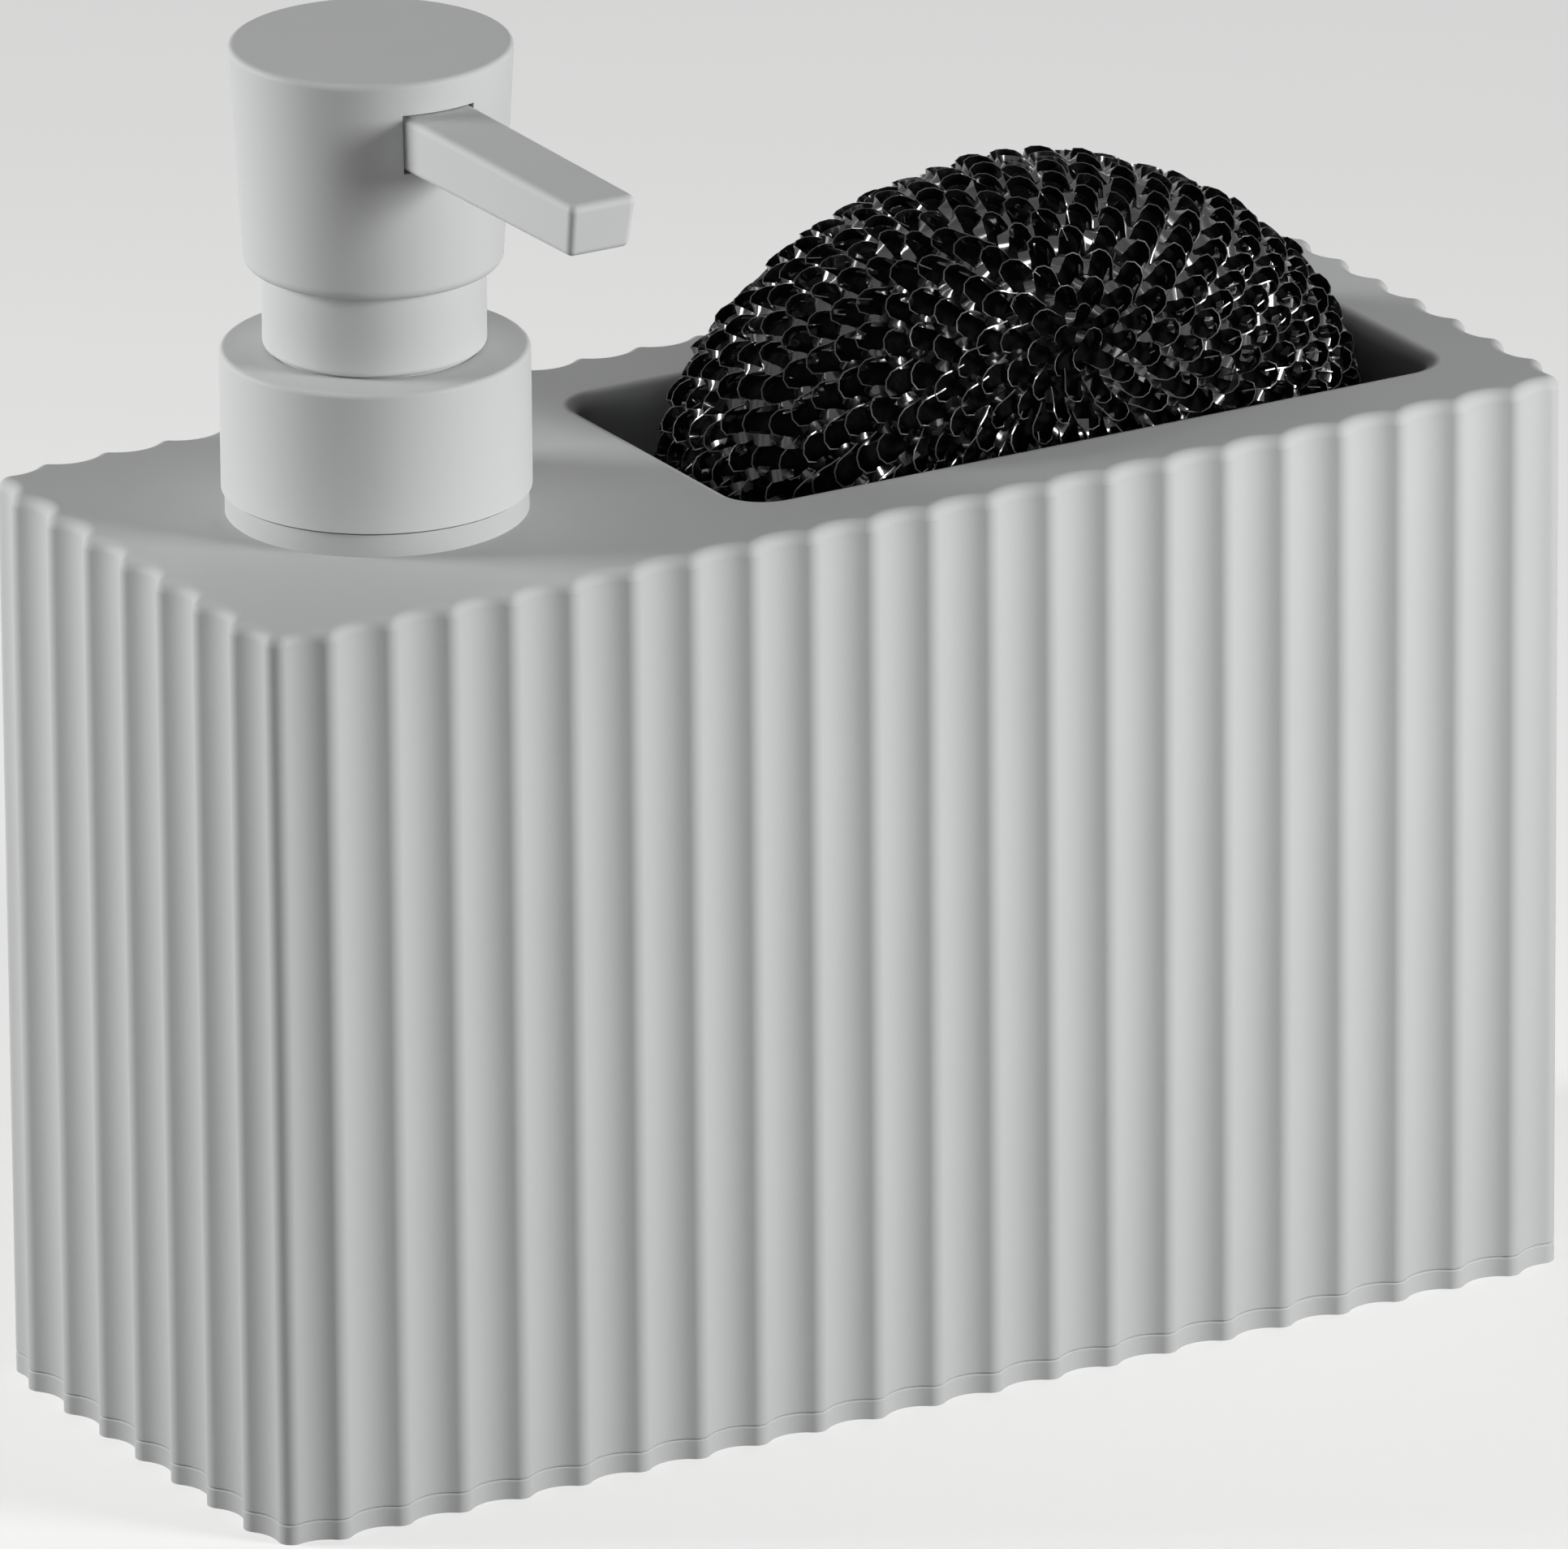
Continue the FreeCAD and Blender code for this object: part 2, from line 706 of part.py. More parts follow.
def dip_tube():
    """Suction tube, cut at a slant so that the tank floor can't close it."""
    bottom = cell.base_thickness + cell.tube_floor_gap
    body = turned("tube_body", [
        (cell.tube_bore_radius, bottom),
        (cell.tube_radius, bottom),
        (cell.tube_radius, seat_bottom - cell.tube_fit),
        (cell.tube_bore_radius, seat_bottom - cell.tube_fit),
    ])
    blade = doc.addObject("Part::Box", "slant_cut")
    for name in ("Length", "Width", "Height"):
        bind(blade, name, cell.tube_radius * 4)
    blade.Placement.Rotation = FreeCAD.Rotation(Vector(0, 1, 0), FULL_TURN / QUARTERS + sheet.tube_cut_angle)
    place(blade, pump_x - cell.tube_radius, -cell.tube_radius * 2, bottom)
    return cut("dip_tube", body, blade)


def ball_cage():
    """Ring on the floor of the bore that stops the inlet ball and centres the spring."""
    outside = cell.barrel_bore_radius - cell.cage_fit
    return turned("ball_cage", [
        (cell.cage_hole_radius, barrel_floor),
        (outside, barrel_floor),
        (outside, cage_top),
        (spring_boss, cage_top),
        (spring_boss, cage_top + cell.spring_boss_height),
        (cell.cage_hole_radius, cage_top + cell.spring_boss_height),
    ])


def stem_plug():
    """Plug in the end of the stem that holds the piston and takes the spring."""
    spigot = cell.stem_bore_radius - cell.stem_fit
    return turned("stem_plug", [
        (cell.plug_bore_radius, plug_bottom - cell.spring_boss_height),
        (spring_boss, plug_bottom - cell.spring_boss_height),
        (spring_boss, plug_bottom),
        (cell.plug_radius, plug_bottom),
        (cell.plug_radius, plug_top),
        (spigot, plug_top),
        (spigot, plug_top + cell.plug_spigot_length),
        (cell.plug_bore_radius, plug_top + cell.plug_spigot_length),
    ])


def piston_cup():
    """Piston with a sealing lip at each end."""
    waist = piston_radius - cell.piston_waist
    lip = cell.piston_lip_length
    return turned("piston_cup", [
        (stem_socket, piston_bottom),
        (piston_radius, piston_bottom),
        (piston_radius, piston_bottom + lip),
        (waist, piston_bottom + lip * 2),
        (waist, piston_top - lip * 2),
        (piston_radius, piston_top - lip),
        (piston_radius, piston_top),
        (stem_socket, piston_top),
    ])


def stem():
    """Hollow rod from the piston to the head."""
    return turned("stem", [
        (cell.stem_bore_radius, plug_top),
        (cell.stem_radius, plug_top),
        (cell.stem_radius, stem_top),
        (cell.stem_bore_radius, stem_top),
    ])


def return_spring():
    """Spring between the ball cage and the stem plug."""
    seat = cell.spring_seat_gap + cell.spring_wire / 2
    return spring("return_spring", cage_top + seat, plug_bottom - seat)


def head_shell(window):
    """Tapered cup that is pressed, with a window for the spout."""
    body = turned("head_cup", [
        (cell.head_bottom_radius - cell.head_wall, head_bottom),
        (cell.head_bottom_radius, head_bottom),
        (cell.head_top_radius, head_top),
        (ZERO, head_top),
        (ZERO, head_ceiling),
        (cell.head_top_radius - cell.head_wall, head_ceiling),
    ])
    top = circle_at(cell.head_top_radius, head_top)
    bottom = circle_at(cell.head_bottom_radius, head_bottom)
    rounded(body, body.Tip, "head_top_edge", cell.head_top_edge_radius, top)
    rounded(body, body.Tip, "head_bottom_edge", cell.head_bottom_edge_radius, bottom)
    return cut("head_shell", body, window)


def head_core(window, bore):
    """Hub under the head's roof with sockets for the stem and the spout, and the valve chamber."""
    plate = rod("core_plate", cell.core_plate_radius, cell.core_plate_thickness, pump_x, z=core_plate_bottom)
    hub = rod("core_hub", cell.core_hub_radius, cell.core_hub_length, pump_x, z=core_bottom)
    arm = doc.addObject("Part::Box", "core_arm")
    width = cell.core_hub_radius * 2
    bind(arm, "Length", width)
    bind(arm, "Width", cell.spout_root + cell.core_socket_depth)
    bind(arm, "Height", cell.core_hub_length)
    place(arm, pump_x - width / 2, -cell.spout_root - cell.core_socket_depth, core_bottom)
    depth = cell.stem_insertion + cell.overrun
    socket = rod("stem_socket", stem_socket, depth, pump_x, z=core_bottom - cell.overrun)
    travel = outlet_seat_rise + cell.outlet_ball_radius + cell.outlet_ball_lift + cell.ball_stop_gap
    chamber = rod("valve_chamber", cell.core_chamber_radius, travel, pump_x, z=stem_top)
    solid = fused("core_solid", plate, hub, arm)
    return cut("head_core", solid, fused("core_spaces", socket, chamber, window, bore))


def spout(bore):
    """Flat bar with a bore, open on its underside near the tip."""
    body, loft = spout_bar("spout_body", ZERO)
    rounded(body, loft, "spout_edges", cell.spout_edge_radius, lambda edge: edge.BoundBox.YMin < -TOUCH)
    below = spout_bottom - cell.overrun
    outlet = rod("outlet", cell.spout_outlet_radius, spout_bore_level - below, pump_x, -outlet_reach, below)
    return cut("spout", body, fused("spout_spaces", bore, outlet))


def scourer():
    """Soft knitted pad: an oval pillow on edge, flat where it rests on the compartment's floor."""
    bottom = pocket_floor.number + sheet.scourer_floor_gap
    top = deck.number + sheet.scourer_rise
    left = pocket_left.number + sheet.scourer_pump_gap
    right = pocket_right.number - sheet.scourer_end_gap
    half_length = (right - left) / 2
    half_height = (top - bottom + sheet.scourer_flat) / 2
    half_width = pocket_half.number - sheet.scourer_side_gap
    middle = Vector((left + right) / 2, -half_width, top - half_height)
    along, upward = Vector(1, 0, 0), Vector(0, 0, 1)
    if half_length < half_height:
        along, upward = upward, -along
    long_half = max(half_length, half_height)
    short_half = min(half_length, half_height)
    end_radius = sheet.scourer_end_radius
    shift = long_half - end_radius
    crown_radius = (shift ** 2 + short_half ** 2 - end_radius ** 2) / (2 * (short_half - end_radius))
    lean = math.atan2(shift, crown_radius - short_half)
    meet_along = along * (shift + end_radius * math.sin(lean))
    meet_upward = upward * (end_radius * math.cos(lean))
    meet = meet_upward + meet_along
    flip = meet_upward - meet_along
    end = along * long_half
    crown = upward * short_half
    spots = ((-flip, end, meet), (meet, crown, flip), (flip, -end, -meet), (-meet, -crown, -flip))
    oval = Part.Wire([Part.Arc(*[middle + spot for spot in arc]).toShape() for arc in spots])
    pillow = Part.Face(oval).extrude(Vector(0, 2 * half_width, 0))
    rims = [edge for edge in pillow.Edges if edge.BoundBox.YLength < TOUCH]
    pillow = pillow.makeFillet(half_width - sheet.scourer_face_land, rims)
    size = 2 * half_length
    below = Part.makeBox(size, size, size, Vector(middle.x - half_length, -half_length, bottom - size))
    pad = doc.addObject("Part::Feature", "scourer")
    pad.Shape = pillow.cut(below)
    return pad


spout_window, _ = spout_bar("spout_window", cell.spout_window_gap)
spout_bore = rod(
    "spout_bore",
    cell.spout_bore_radius,
    outlet_reach,
    x=pump_x,
    z=spout_bore_level,
    forward=True,
)
sub_parts = [
    body_shell(),
    base_plate(),
    collar_cover(),
    collar_thread_ring(),
    flange_gasket(),
    guide_sleeve(),
    pump_barrel(),
    dip_tube(),
    ball_cage(),
    ball("inlet_ball", cell.inlet_ball_radius, seat_top + inlet_seat_rise),
    return_spring(),
    piston_cup(),
    stem(),
    stem_plug(),
    head_shell(spout_window),
    head_core(spout_window, spout_bore),
    ball("outlet_ball", cell.outlet_ball_radius, outlet_level),
    spout(spout_bore),
    scourer(),
]
doc.recompute()

faults = [item.Name for item in doc.Objects if "Invalid" in item.State or "Error" in item.State]
faults += [item.Label for item in sub_parts if item.Shape.isNull() or not item.Shape.isValid()]
if faults:
    raise RuntimeError("failed objects: " + ", ".join(faults))

os.makedirs("parts", exist_ok=True)
for item in sub_parts:
    item.Shape.exportStep(os.path.join("parts", item.Label + ".step"))
    print("%-20s %d solid(s) %10.1f mm3" % (item.Label, len(item.Shape.Solids), item.Shape.Volume))
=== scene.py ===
"""Dresses the soap pump caddy in Blender: satin mouldings, a lotion pump and a knitted scourer.

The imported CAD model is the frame, in metres. +X runs from the pump to the scourer, -Y is the long
front face and +Z is up. CAD solids keep their shapes and take procedural finishes here. The scourer,
the return spring and the neck's thread are made here.
"""

import logging
import math
from dataclasses import dataclass
from enum import Enum
from typing import Any

import bmesh
import bpy
from mathutils import Matrix, Quaternion, Vector

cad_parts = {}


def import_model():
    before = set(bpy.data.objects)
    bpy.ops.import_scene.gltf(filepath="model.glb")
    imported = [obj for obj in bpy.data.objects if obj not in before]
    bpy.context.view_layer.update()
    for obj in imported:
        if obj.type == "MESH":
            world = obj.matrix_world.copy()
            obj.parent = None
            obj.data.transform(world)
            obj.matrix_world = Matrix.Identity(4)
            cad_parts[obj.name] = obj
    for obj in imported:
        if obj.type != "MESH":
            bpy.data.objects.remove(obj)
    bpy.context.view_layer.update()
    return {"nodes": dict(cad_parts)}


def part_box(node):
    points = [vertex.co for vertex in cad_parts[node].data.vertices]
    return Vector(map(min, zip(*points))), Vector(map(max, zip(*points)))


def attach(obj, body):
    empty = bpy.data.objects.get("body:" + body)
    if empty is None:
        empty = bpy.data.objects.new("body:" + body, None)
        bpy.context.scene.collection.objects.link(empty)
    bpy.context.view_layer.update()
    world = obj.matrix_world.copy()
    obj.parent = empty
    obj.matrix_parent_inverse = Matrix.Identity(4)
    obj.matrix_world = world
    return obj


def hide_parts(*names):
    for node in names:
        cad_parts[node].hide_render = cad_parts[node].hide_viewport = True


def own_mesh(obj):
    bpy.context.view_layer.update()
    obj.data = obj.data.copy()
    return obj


MM = 0.001
PHOTO_WIDTH = 1932
# Nearly all of a noise's values lie between these two
NOISE_LOW = 0.3
NOISE_HIGH = 0.7
log = logging.getLogger("soap_pump_caddy")


def linear(hex_colour: str) -> tuple[float, float, float, float]:
    """Turn an sRGB hex colour into linear RGBA.

    Args:
        hex_colour: six hex digits, with or without a leading hash.

    Returns:
        The colour as Blender's sockets take it, with full alpha.
    """
    digits = hex_colour.lstrip("#")
    channels = []
    for start in (0, 2, 4):
        value = int(digits[start:start + 2], 16) / 255
        channels.append(value / 12.92 if value <= 0.04045 else ((value + 0.055) / 1.055) ** 2.4)
    return channels[0], channels[1], channels[2], 1.0


def add_node(
    tree: bpy.types.NodeTree,
    kind: str,
    inputs: dict[str | int, Any] | None = None,
    settings: dict[str, Any] | None = None,
) -> bpy.types.Node:
    """Add a node with its settings, its constant inputs and its links.

    Args:
        tree: shader or geometry tree that takes the node.
        kind: Blender's name of the node type.
        inputs: for each input, by name or place, a value or the output socket to link from.
        settings: the node's own properties, set before its inputs.

    Returns:
        The new node.
    """
    node = tree.nodes.new(kind)
    for name, value in (settings or {}).items():
        setattr(node, name, value)
    for key, value in (inputs or {}).items():
        if isinstance(value, bpy.types.NodeSocket):
            tree.links.new(value, node.inputs[key])
        else:
            node.inputs[key].default_value = value
    return node


def mix_colours(
    tree: bpy.types.NodeTree, share: bpy.types.NodeSocket, first: Any, second: Any,
) -> bpy.types.NodeSocket:
    """Mix two colours.

    Args:
        tree: the tree that takes the node.
        share: output that says how much of the second colour shows.
        first: colour, or output that gives it, at a share of 0.
        second: the same at a share of 1.

    Returns:
        The colour output.
    """
    # A Mix node's sockets for colours have no names of their own
    mix = add_node(tree, "ShaderNodeMix", {"Factor": share, 6: first, 7: second}, {"data_type": "RGBA"})
    return mix.outputs[2]


def seen_rays(tree: bpy.types.NodeTree) -> bpy.types.NodeSocket:
    """Tell rays that show a surface to the eye, straight, in gloss or through glass, from thrown light.

    Args:
        tree: the tree that asks.

    Returns:
        An output that is 1 for the first kind of ray and 0 for the second.
    """
    ray = add_node(tree, "ShaderNodeLightPath").outputs
    seen = ray["Is Camera Ray"]
    for kind in ("Is Glossy Ray", "Is Transmission Ray"):
        either = add_node(tree, "ShaderNodeMath", {0: seen, 1: ray[kind]}, {"operation": "MAXIMUM"})
        seen = either.outputs[0]
    return seen


def per_metre(size: float) -> float:
    """Pattern scale that gives features of a size in metres."""
    return 1 / size


@dataclass(frozen=True)
class Finish:
    """A plain finish on Object coordinates: two close tones, a roughness range and a fine grain.

    One noise gives slow colour drift, one gives patches of more and less gloss, and one gives the
    bump of the grain.
    """

    name: str
    tone: str
    drift: str
    roughness: tuple[float, float]
    grain: float
    grain_height: float
    patch: float = 9 * MM
    patches_per_drift: float = 3.0
    ior: float = 1.5
    metallic: float = 0.0
    transmission: float = 0.0
    coat: float = 0.0
    coat_roughness: float = 0.05
    specular: float = 0.5
    stretch: tuple[float, float, float] = (1.0, 1.0, 1.0)

    def material(self) -> bpy.types.Material:
        """Build the material.

        Returns:
            A new node material, named for the finish.
        """
        material = bpy.data.materials.new(self.name)
        material.use_nodes = True
        tree = material.node_tree
        tree.nodes.clear()
        place = add_node(tree, "ShaderNodeTexCoord").outputs["Object"]
        mapping = add_node(tree, "ShaderNodeMapping", {"Vector": place, "Scale": self.stretch})
        shader = add_node(tree, "ShaderNodeBsdfPrincipled", {
            "Base Color": self.colour(tree, place),
            "Roughness": self.gloss(tree, place),
            "Normal": self.relief(tree, mapping.outputs["Vector"]),
            "IOR": self.ior,
            "Metallic": self.metallic,
            "Transmission Weight": self.transmission,
            "Coat Weight": self.coat,
            "Coat Roughness": self.coat_roughness,
            "Specular IOR Level": self.specular,
            "Emission Strength": self.glow(tree),
        })
        add_node(tree, "ShaderNodeOutputMaterial", {"Surface": shader.outputs["BSDF"]})
        return material

    def colour(self, tree: bpy.types.NodeTree, place: bpy.types.NodeSocket) -> bpy.types.NodeSocket:
        """Slow drift between the two tones.

        Args:
            tree: the material's tree.
            place: coordinates on the piece.

        Returns:
            The colour output.
        """
        noise = add_node(tree, "ShaderNodeTexNoise", {
            "Vector": place, "Scale": per_metre(self.patches_per_drift * self.patch), "Detail": 2.0,
        })
        return mix_colours(tree, noise.outputs["Fac"], linear(self.tone), linear(self.drift))

    def gloss(self, tree: bpy.types.NodeTree, place: bpy.types.NodeSocket) -> bpy.types.NodeSocket:
        """Patches of more and less gloss.

        Args:
            tree: the material's tree.
            place: coordinates on the piece.

        Returns:
            The roughness output.
        """
        noise = add_node(tree, "ShaderNodeTexNoise", {
            "Vector": place, "Scale": per_metre(self.patch), "Detail": 3.0,
        })
        spread = add_node(tree, "ShaderNodeMapRange", {
            "Value": noise.outputs["Fac"], "From Min": NOISE_LOW, "From Max": NOISE_HIGH,
            "To Min": self.roughness[0], "To Max": self.roughness[1],
        })
        return spread.outputs["Result"]

    def relief(self, tree: bpy.types.NodeTree, place: bpy.types.NodeSocket) -> bpy.types.NodeSocket:
        """Grain of the surface.

        Args:
            tree: the material's tree.
            place: coordinates on the piece, stretched along the grain.

        Returns:
            The normal output.
        """
        noise = add_node(tree, "ShaderNodeTexNoise", {
            "Vector": place, "Scale": per_metre(self.grain), "Detail": 2.0,
        })
        bump = add_node(tree, "ShaderNodeBump", {
            "Height": noise.outputs["Fac"], "Distance": self.grain_height, "Strength": 1.0,
        })
        return bump.outputs["Normal"]

    def glow(self, tree: bpy.types.NodeTree) -> bpy.types.NodeSocket | float:
        """Light of the finish's own: none.

        Args:
            tree: the material's tree; not used here.

        Returns:
            The strength, or the output that gives it.
        """
        return 0.0


@dataclass(frozen=True)
class CellFoam(Finish):
    """Open-cell foam: round pits of one cell size instead of a noise grain."""

    def relief(self, tree: bpy.types.NodeTree, place: bpy.types.NodeSocket) -> bpy.types.NodeSocket:
        """Pits of the foam's cells.

        Args:
            tree: the material's tree.
            place: coordinates on the piece.

        Returns:
            The normal output.
        """
        cells = add_node(tree, "ShaderNodeTexVoronoi", {"Vector": place, "Scale": per_metre(self.grain)})
        bump = add_node(tree, "ShaderNodeBump", {
            "Height": cells.outputs["Distance"], "Distance": self.grain_height, "Strength": 1.0,
        })
        return bump.outputs["Normal"]


@dataclass(frozen=True)
class PaintedBoard(Finish):
    """Painted board that looks pale, yet throws little light back on to what stands on it."""

    thrown: str = "#6e6e6d"
    paleness: float = 0.55

    def colour(self, tree: bpy.types.NodeTree, place: bpy.types.NodeSocket) -> bpy.types.NodeSocket:
        """The pale tones where the board is seen, the darker one for the light that it throws.

        Args:
            tree: the material's tree.
            place: coordinates on the board.

        Returns:
            The colour output.
        """
        return mix_colours(tree, seen_rays(tree), linear(self.thrown), super().colour(tree, place))

    def glow(self, tree: bpy.types.NodeTree) -> bpy.types.NodeSocket:
        """An even paleness where the board is seen, so that it stays pale far from the lamps.

        Args:
            tree: the material's tree.

        Returns:
            The output that gives the strength.
        """
        even = add_node(tree, "ShaderNodeMath", {
            0: seen_rays(tree), 1: self.paleness,
        }, {"operation": "MULTIPLY"})
        return even.outputs[0]


class Finishes(Enum):
    """The finishes of the caddy's pieces and of the floor."""

    # Pale grey ABS from a finely spark-eroded mould: a soft satin with no sparkle. The texture of
    # about 0.1 mm is drawn at 0.4 mm so that it shows. Its tone is a little darker than the pump's:
    # painted shade that keeps the deck darker than the head's top.
    CASE = Finish(
        "satin_moulded_abs", "#cbcccc", "#c7c8c8", (0.56, 0.64), 0.4 * MM, 0.004 * MM, specular=0.12,
    )
    # The same grey in polypropylene from a smoother mould: a little glossier than the case. Its tone
    # is a little paler than the case's: painted light that keeps the head's top paler than the deck.
    PUMP = Finish(
        "satin_moulded_polypropylene", "#d8d9d9", "#d4d5d5", (0.50, 0.58), 0.3 * MM, 0.002 * MM,
        specular=0.12,
    )
    # Uncoloured polypropylene: milky, lets some light through.
    NATURAL = Finish(
        "natural_polypropylene", "#e4e6e0", "#dcdfd8", (0.30, 0.40), 0.5 * MM, 0.003 * MM,
        ior=1.49, transmission=0.25,
    )
    # Extruded low-density polyethylene tube: clearer, with faint lines along its length.
    TUBE = Finish(
        "extruded_polyethylene", "#eceee9", "#e4e7e1", (0.18, 0.28), 0.4 * MM, 0.003 * MM,
        ior=1.51, transmission=0.7, stretch=(1.0, 1.0, 0.05),
    )
    # Moulded soft elastomer: off-white and dull, as the pump's seals are.
    RUBBER = Finish("moulded_soft_elastomer", "#dededa", "#d6d6d2", (0.55, 0.70), 0.25 * MM, 0.006 * MM)
    # Drawn stainless wire: bright metal with a fine grain.
    WIRE = Finish(
        "drawn_stainless_wire", "#c3c5c7", "#b6b9bb", (0.16, 0.30), 0.2 * MM, 0.002 * MM,
        patch=2 * MM, metallic=1.0,
    )
    # Ground and polished stainless ball.
    BALL = Finish(
        "polished_stainless_steel", "#d0d2d4", "#c8cacc", (0.05, 0.10), 0.3 * MM, 0.0005 * MM,
        patch=2 * MM, metallic=1.0,
    )
    # Black polypropylene tape slit from film: a hard gloss that stays black between small glints.
    RIBBON = Finish(
        "slit_polypropylene_tape", "#08090a", "#0c0c0e", (0.18, 0.30), 1.2 * MM, 0.006 * MM,
        patch=4 * MM, ior=1.49, coat=1.0, coat_roughness=0.06, specular=0.7,
    )
    # Painted highlight on the tape's edge at the head of each loop: a rough pale tone that varies towards
    # black from loop to loop, so that each loop is drawn by a thin pale line where its edge would catch the
    # light.
    PAINTED_EDGE_HIGHLIGHT = Finish(
        "tape_edge_painted_highlight", "#3c3e3e", "#0a0b0b", (0.35, 0.55), 0.5 * MM, 0.004 * MM, patch=1.2 * MM,
    )
    # Black polyurethane foam under the tape: dull, full of small pits.
    FOAM = CellFoam("open_cell_foam", "#060607", "#09090a", (0.9, 0.98), 0.9 * MM, 0.3 * MM, specular=0.1)
    # Matt painted table under the caddy.
    FLOOR = PaintedBoard(
        "matt_painted_board", "#b0b0ae", "#adadab", (0.85, 0.9), 2 * MM, 0.01 * MM, patch=60 * MM,
    )


class FinishBox:
    """Makes each finish's material once and hands it out."""

    def __init__(self) -> None:
        """Start with no materials made."""
        self.made: dict[Finishes, bpy.types.Material] = {}

    def get(self, finish: Finishes) -> bpy.types.Material:
        """Give a finish's material.

        Args:
            finish: which finish.

        Returns:
            Its material, made on first use.
        """
        if finish not in self.made:
            self.made[finish] = finish.value.material()
        return self.made[finish]


def new_object(name: str, mesh: bpy.types.Mesh) -> bpy.types.Object:
    """Put a mesh into the scene at the origin.

    Args:
        name: name of the object.
        mesh: its mesh, already in place.

    Returns:
        The linked object.
    """
    item = bpy.data.objects.new(name, mesh)
    bpy.context.scene.collection.objects.link(item)
    return item


class NodeTreeMaker:
    """A geometry node tree with named inputs, run once on an object and turned into a plain mesh."""

    def __init__(self, name: str, sizes: dict[str, tuple[str, Any]]) -> None:
        """Make the tree's interface.

        Args:
            name: name of the tree.
            sizes: for each named input, its socket type and its value.
        """
        self.tree = bpy.data.node_groups.new(name, "GeometryNodeTree")
        self.values = {label: value for label, (_, value) in sizes.items()}
        self.tree.interface.new_socket("Geometry", in_out="INPUT", socket_type="NodeSocketGeometry")
        for label, (kind, _) in sizes.items():
            self.tree.interface.new_socket(label, in_out="INPUT", socket_type=kind)
        self.tree.interface.new_socket("Geometry", in_out="OUTPUT", socket_type="NodeSocketGeometry")
        self.given = add_node(self.tree, "NodeGroupInput").outputs

    def add(self, kind: str, inputs: dict[str | int, Any] | None = None, **settings: Any) -> Any:
        """Add a node to the tree.

        Args:
            kind: Blender's name of the node type.
            inputs: values or sockets for its inputs.
            **settings: the node's own properties.

        Returns:
            The node's outputs.
        """
        return add_node(self.tree, kind, inputs, settings).outputs

    def close(self, geometry: bpy.types.NodeSocket) -> None:
        """Link the result to the tree's output."""
        add_node(self.tree, "NodeGroupOutput", {0: geometry})

    def run(self, name: str, start: bpy.types.Mesh) -> bpy.types.Object:
        """Run the tree on a mesh.

        Args:
            name: name of the finished piece.
            start: mesh that the tree starts from.

        Returns:
            A new object with the result as a plain mesh.
        """
        carrier = new_object(name + "_start", start)
        modifier = carrier.modifiers.new("build", "NODES")
        modifier.node_group = self.tree
        for socket in self.tree.interface.items_tree:
            if socket.in_out == "INPUT" and socket.name in self.values:
                modifier[socket.identifier] = self.values[socket.name]
        bpy.context.view_layer.update()
        graph = bpy.context.evaluated_depsgraph_get()
        mesh = bpy.data.meshes.new_from_object(carrier.evaluated_get(graph), depsgraph=graph)
        mesh.name = name
        carrier.modifiers.remove(modifier)
        bpy.data.objects.remove(carrier)
        return new_object(name, mesh)


def empty_mesh(name: str) -> bpy.types.Mesh:
    """A mesh with nothing in it, for a tree that makes its own geometry."""
    return bpy.data.meshes.new(name)


@dataclass
class Dressing:
    """Gives the CAD solids that keep their shape the finish of what they are made of."""

    finishes: FinishBox
    chosen: tuple[tuple[Finishes, tuple[str, ...]], ...] = (
        (Finishes.CASE, ("body_shell", "base_plate")),
        (Finishes.PUMP, ("collar_cover", "guide_sleeve", "head_shell", "spout")),
        (Finishes.NATURAL, ("collar_thread_ring", "pump_barrel", "ball_cage")),
        (Finishes.NATURAL, ("stem", "stem_plug", "head_core")),
        (Finishes.TUBE, ("dip_tube",)),
        (Finishes.RUBBER, ("flange_gasket", "piston_cup")),
        (Finishes.BALL, ("inlet_ball", "outlet_ball")),
    )

    def dress(self, nodes: dict[str, bpy.types.Object]) -> None:
        """Put each finish on its nodes.

        Args:
            nodes: the frame's CAD nodes by name.
        """
        for finish, names in self.chosen:
            material = self.finishes.get(finish)
            for name in names:
                nodes[name].data.materials.clear()
                nodes[name].data.materials.append(material)
                log.info("dressed %s in %s", name, material.name)


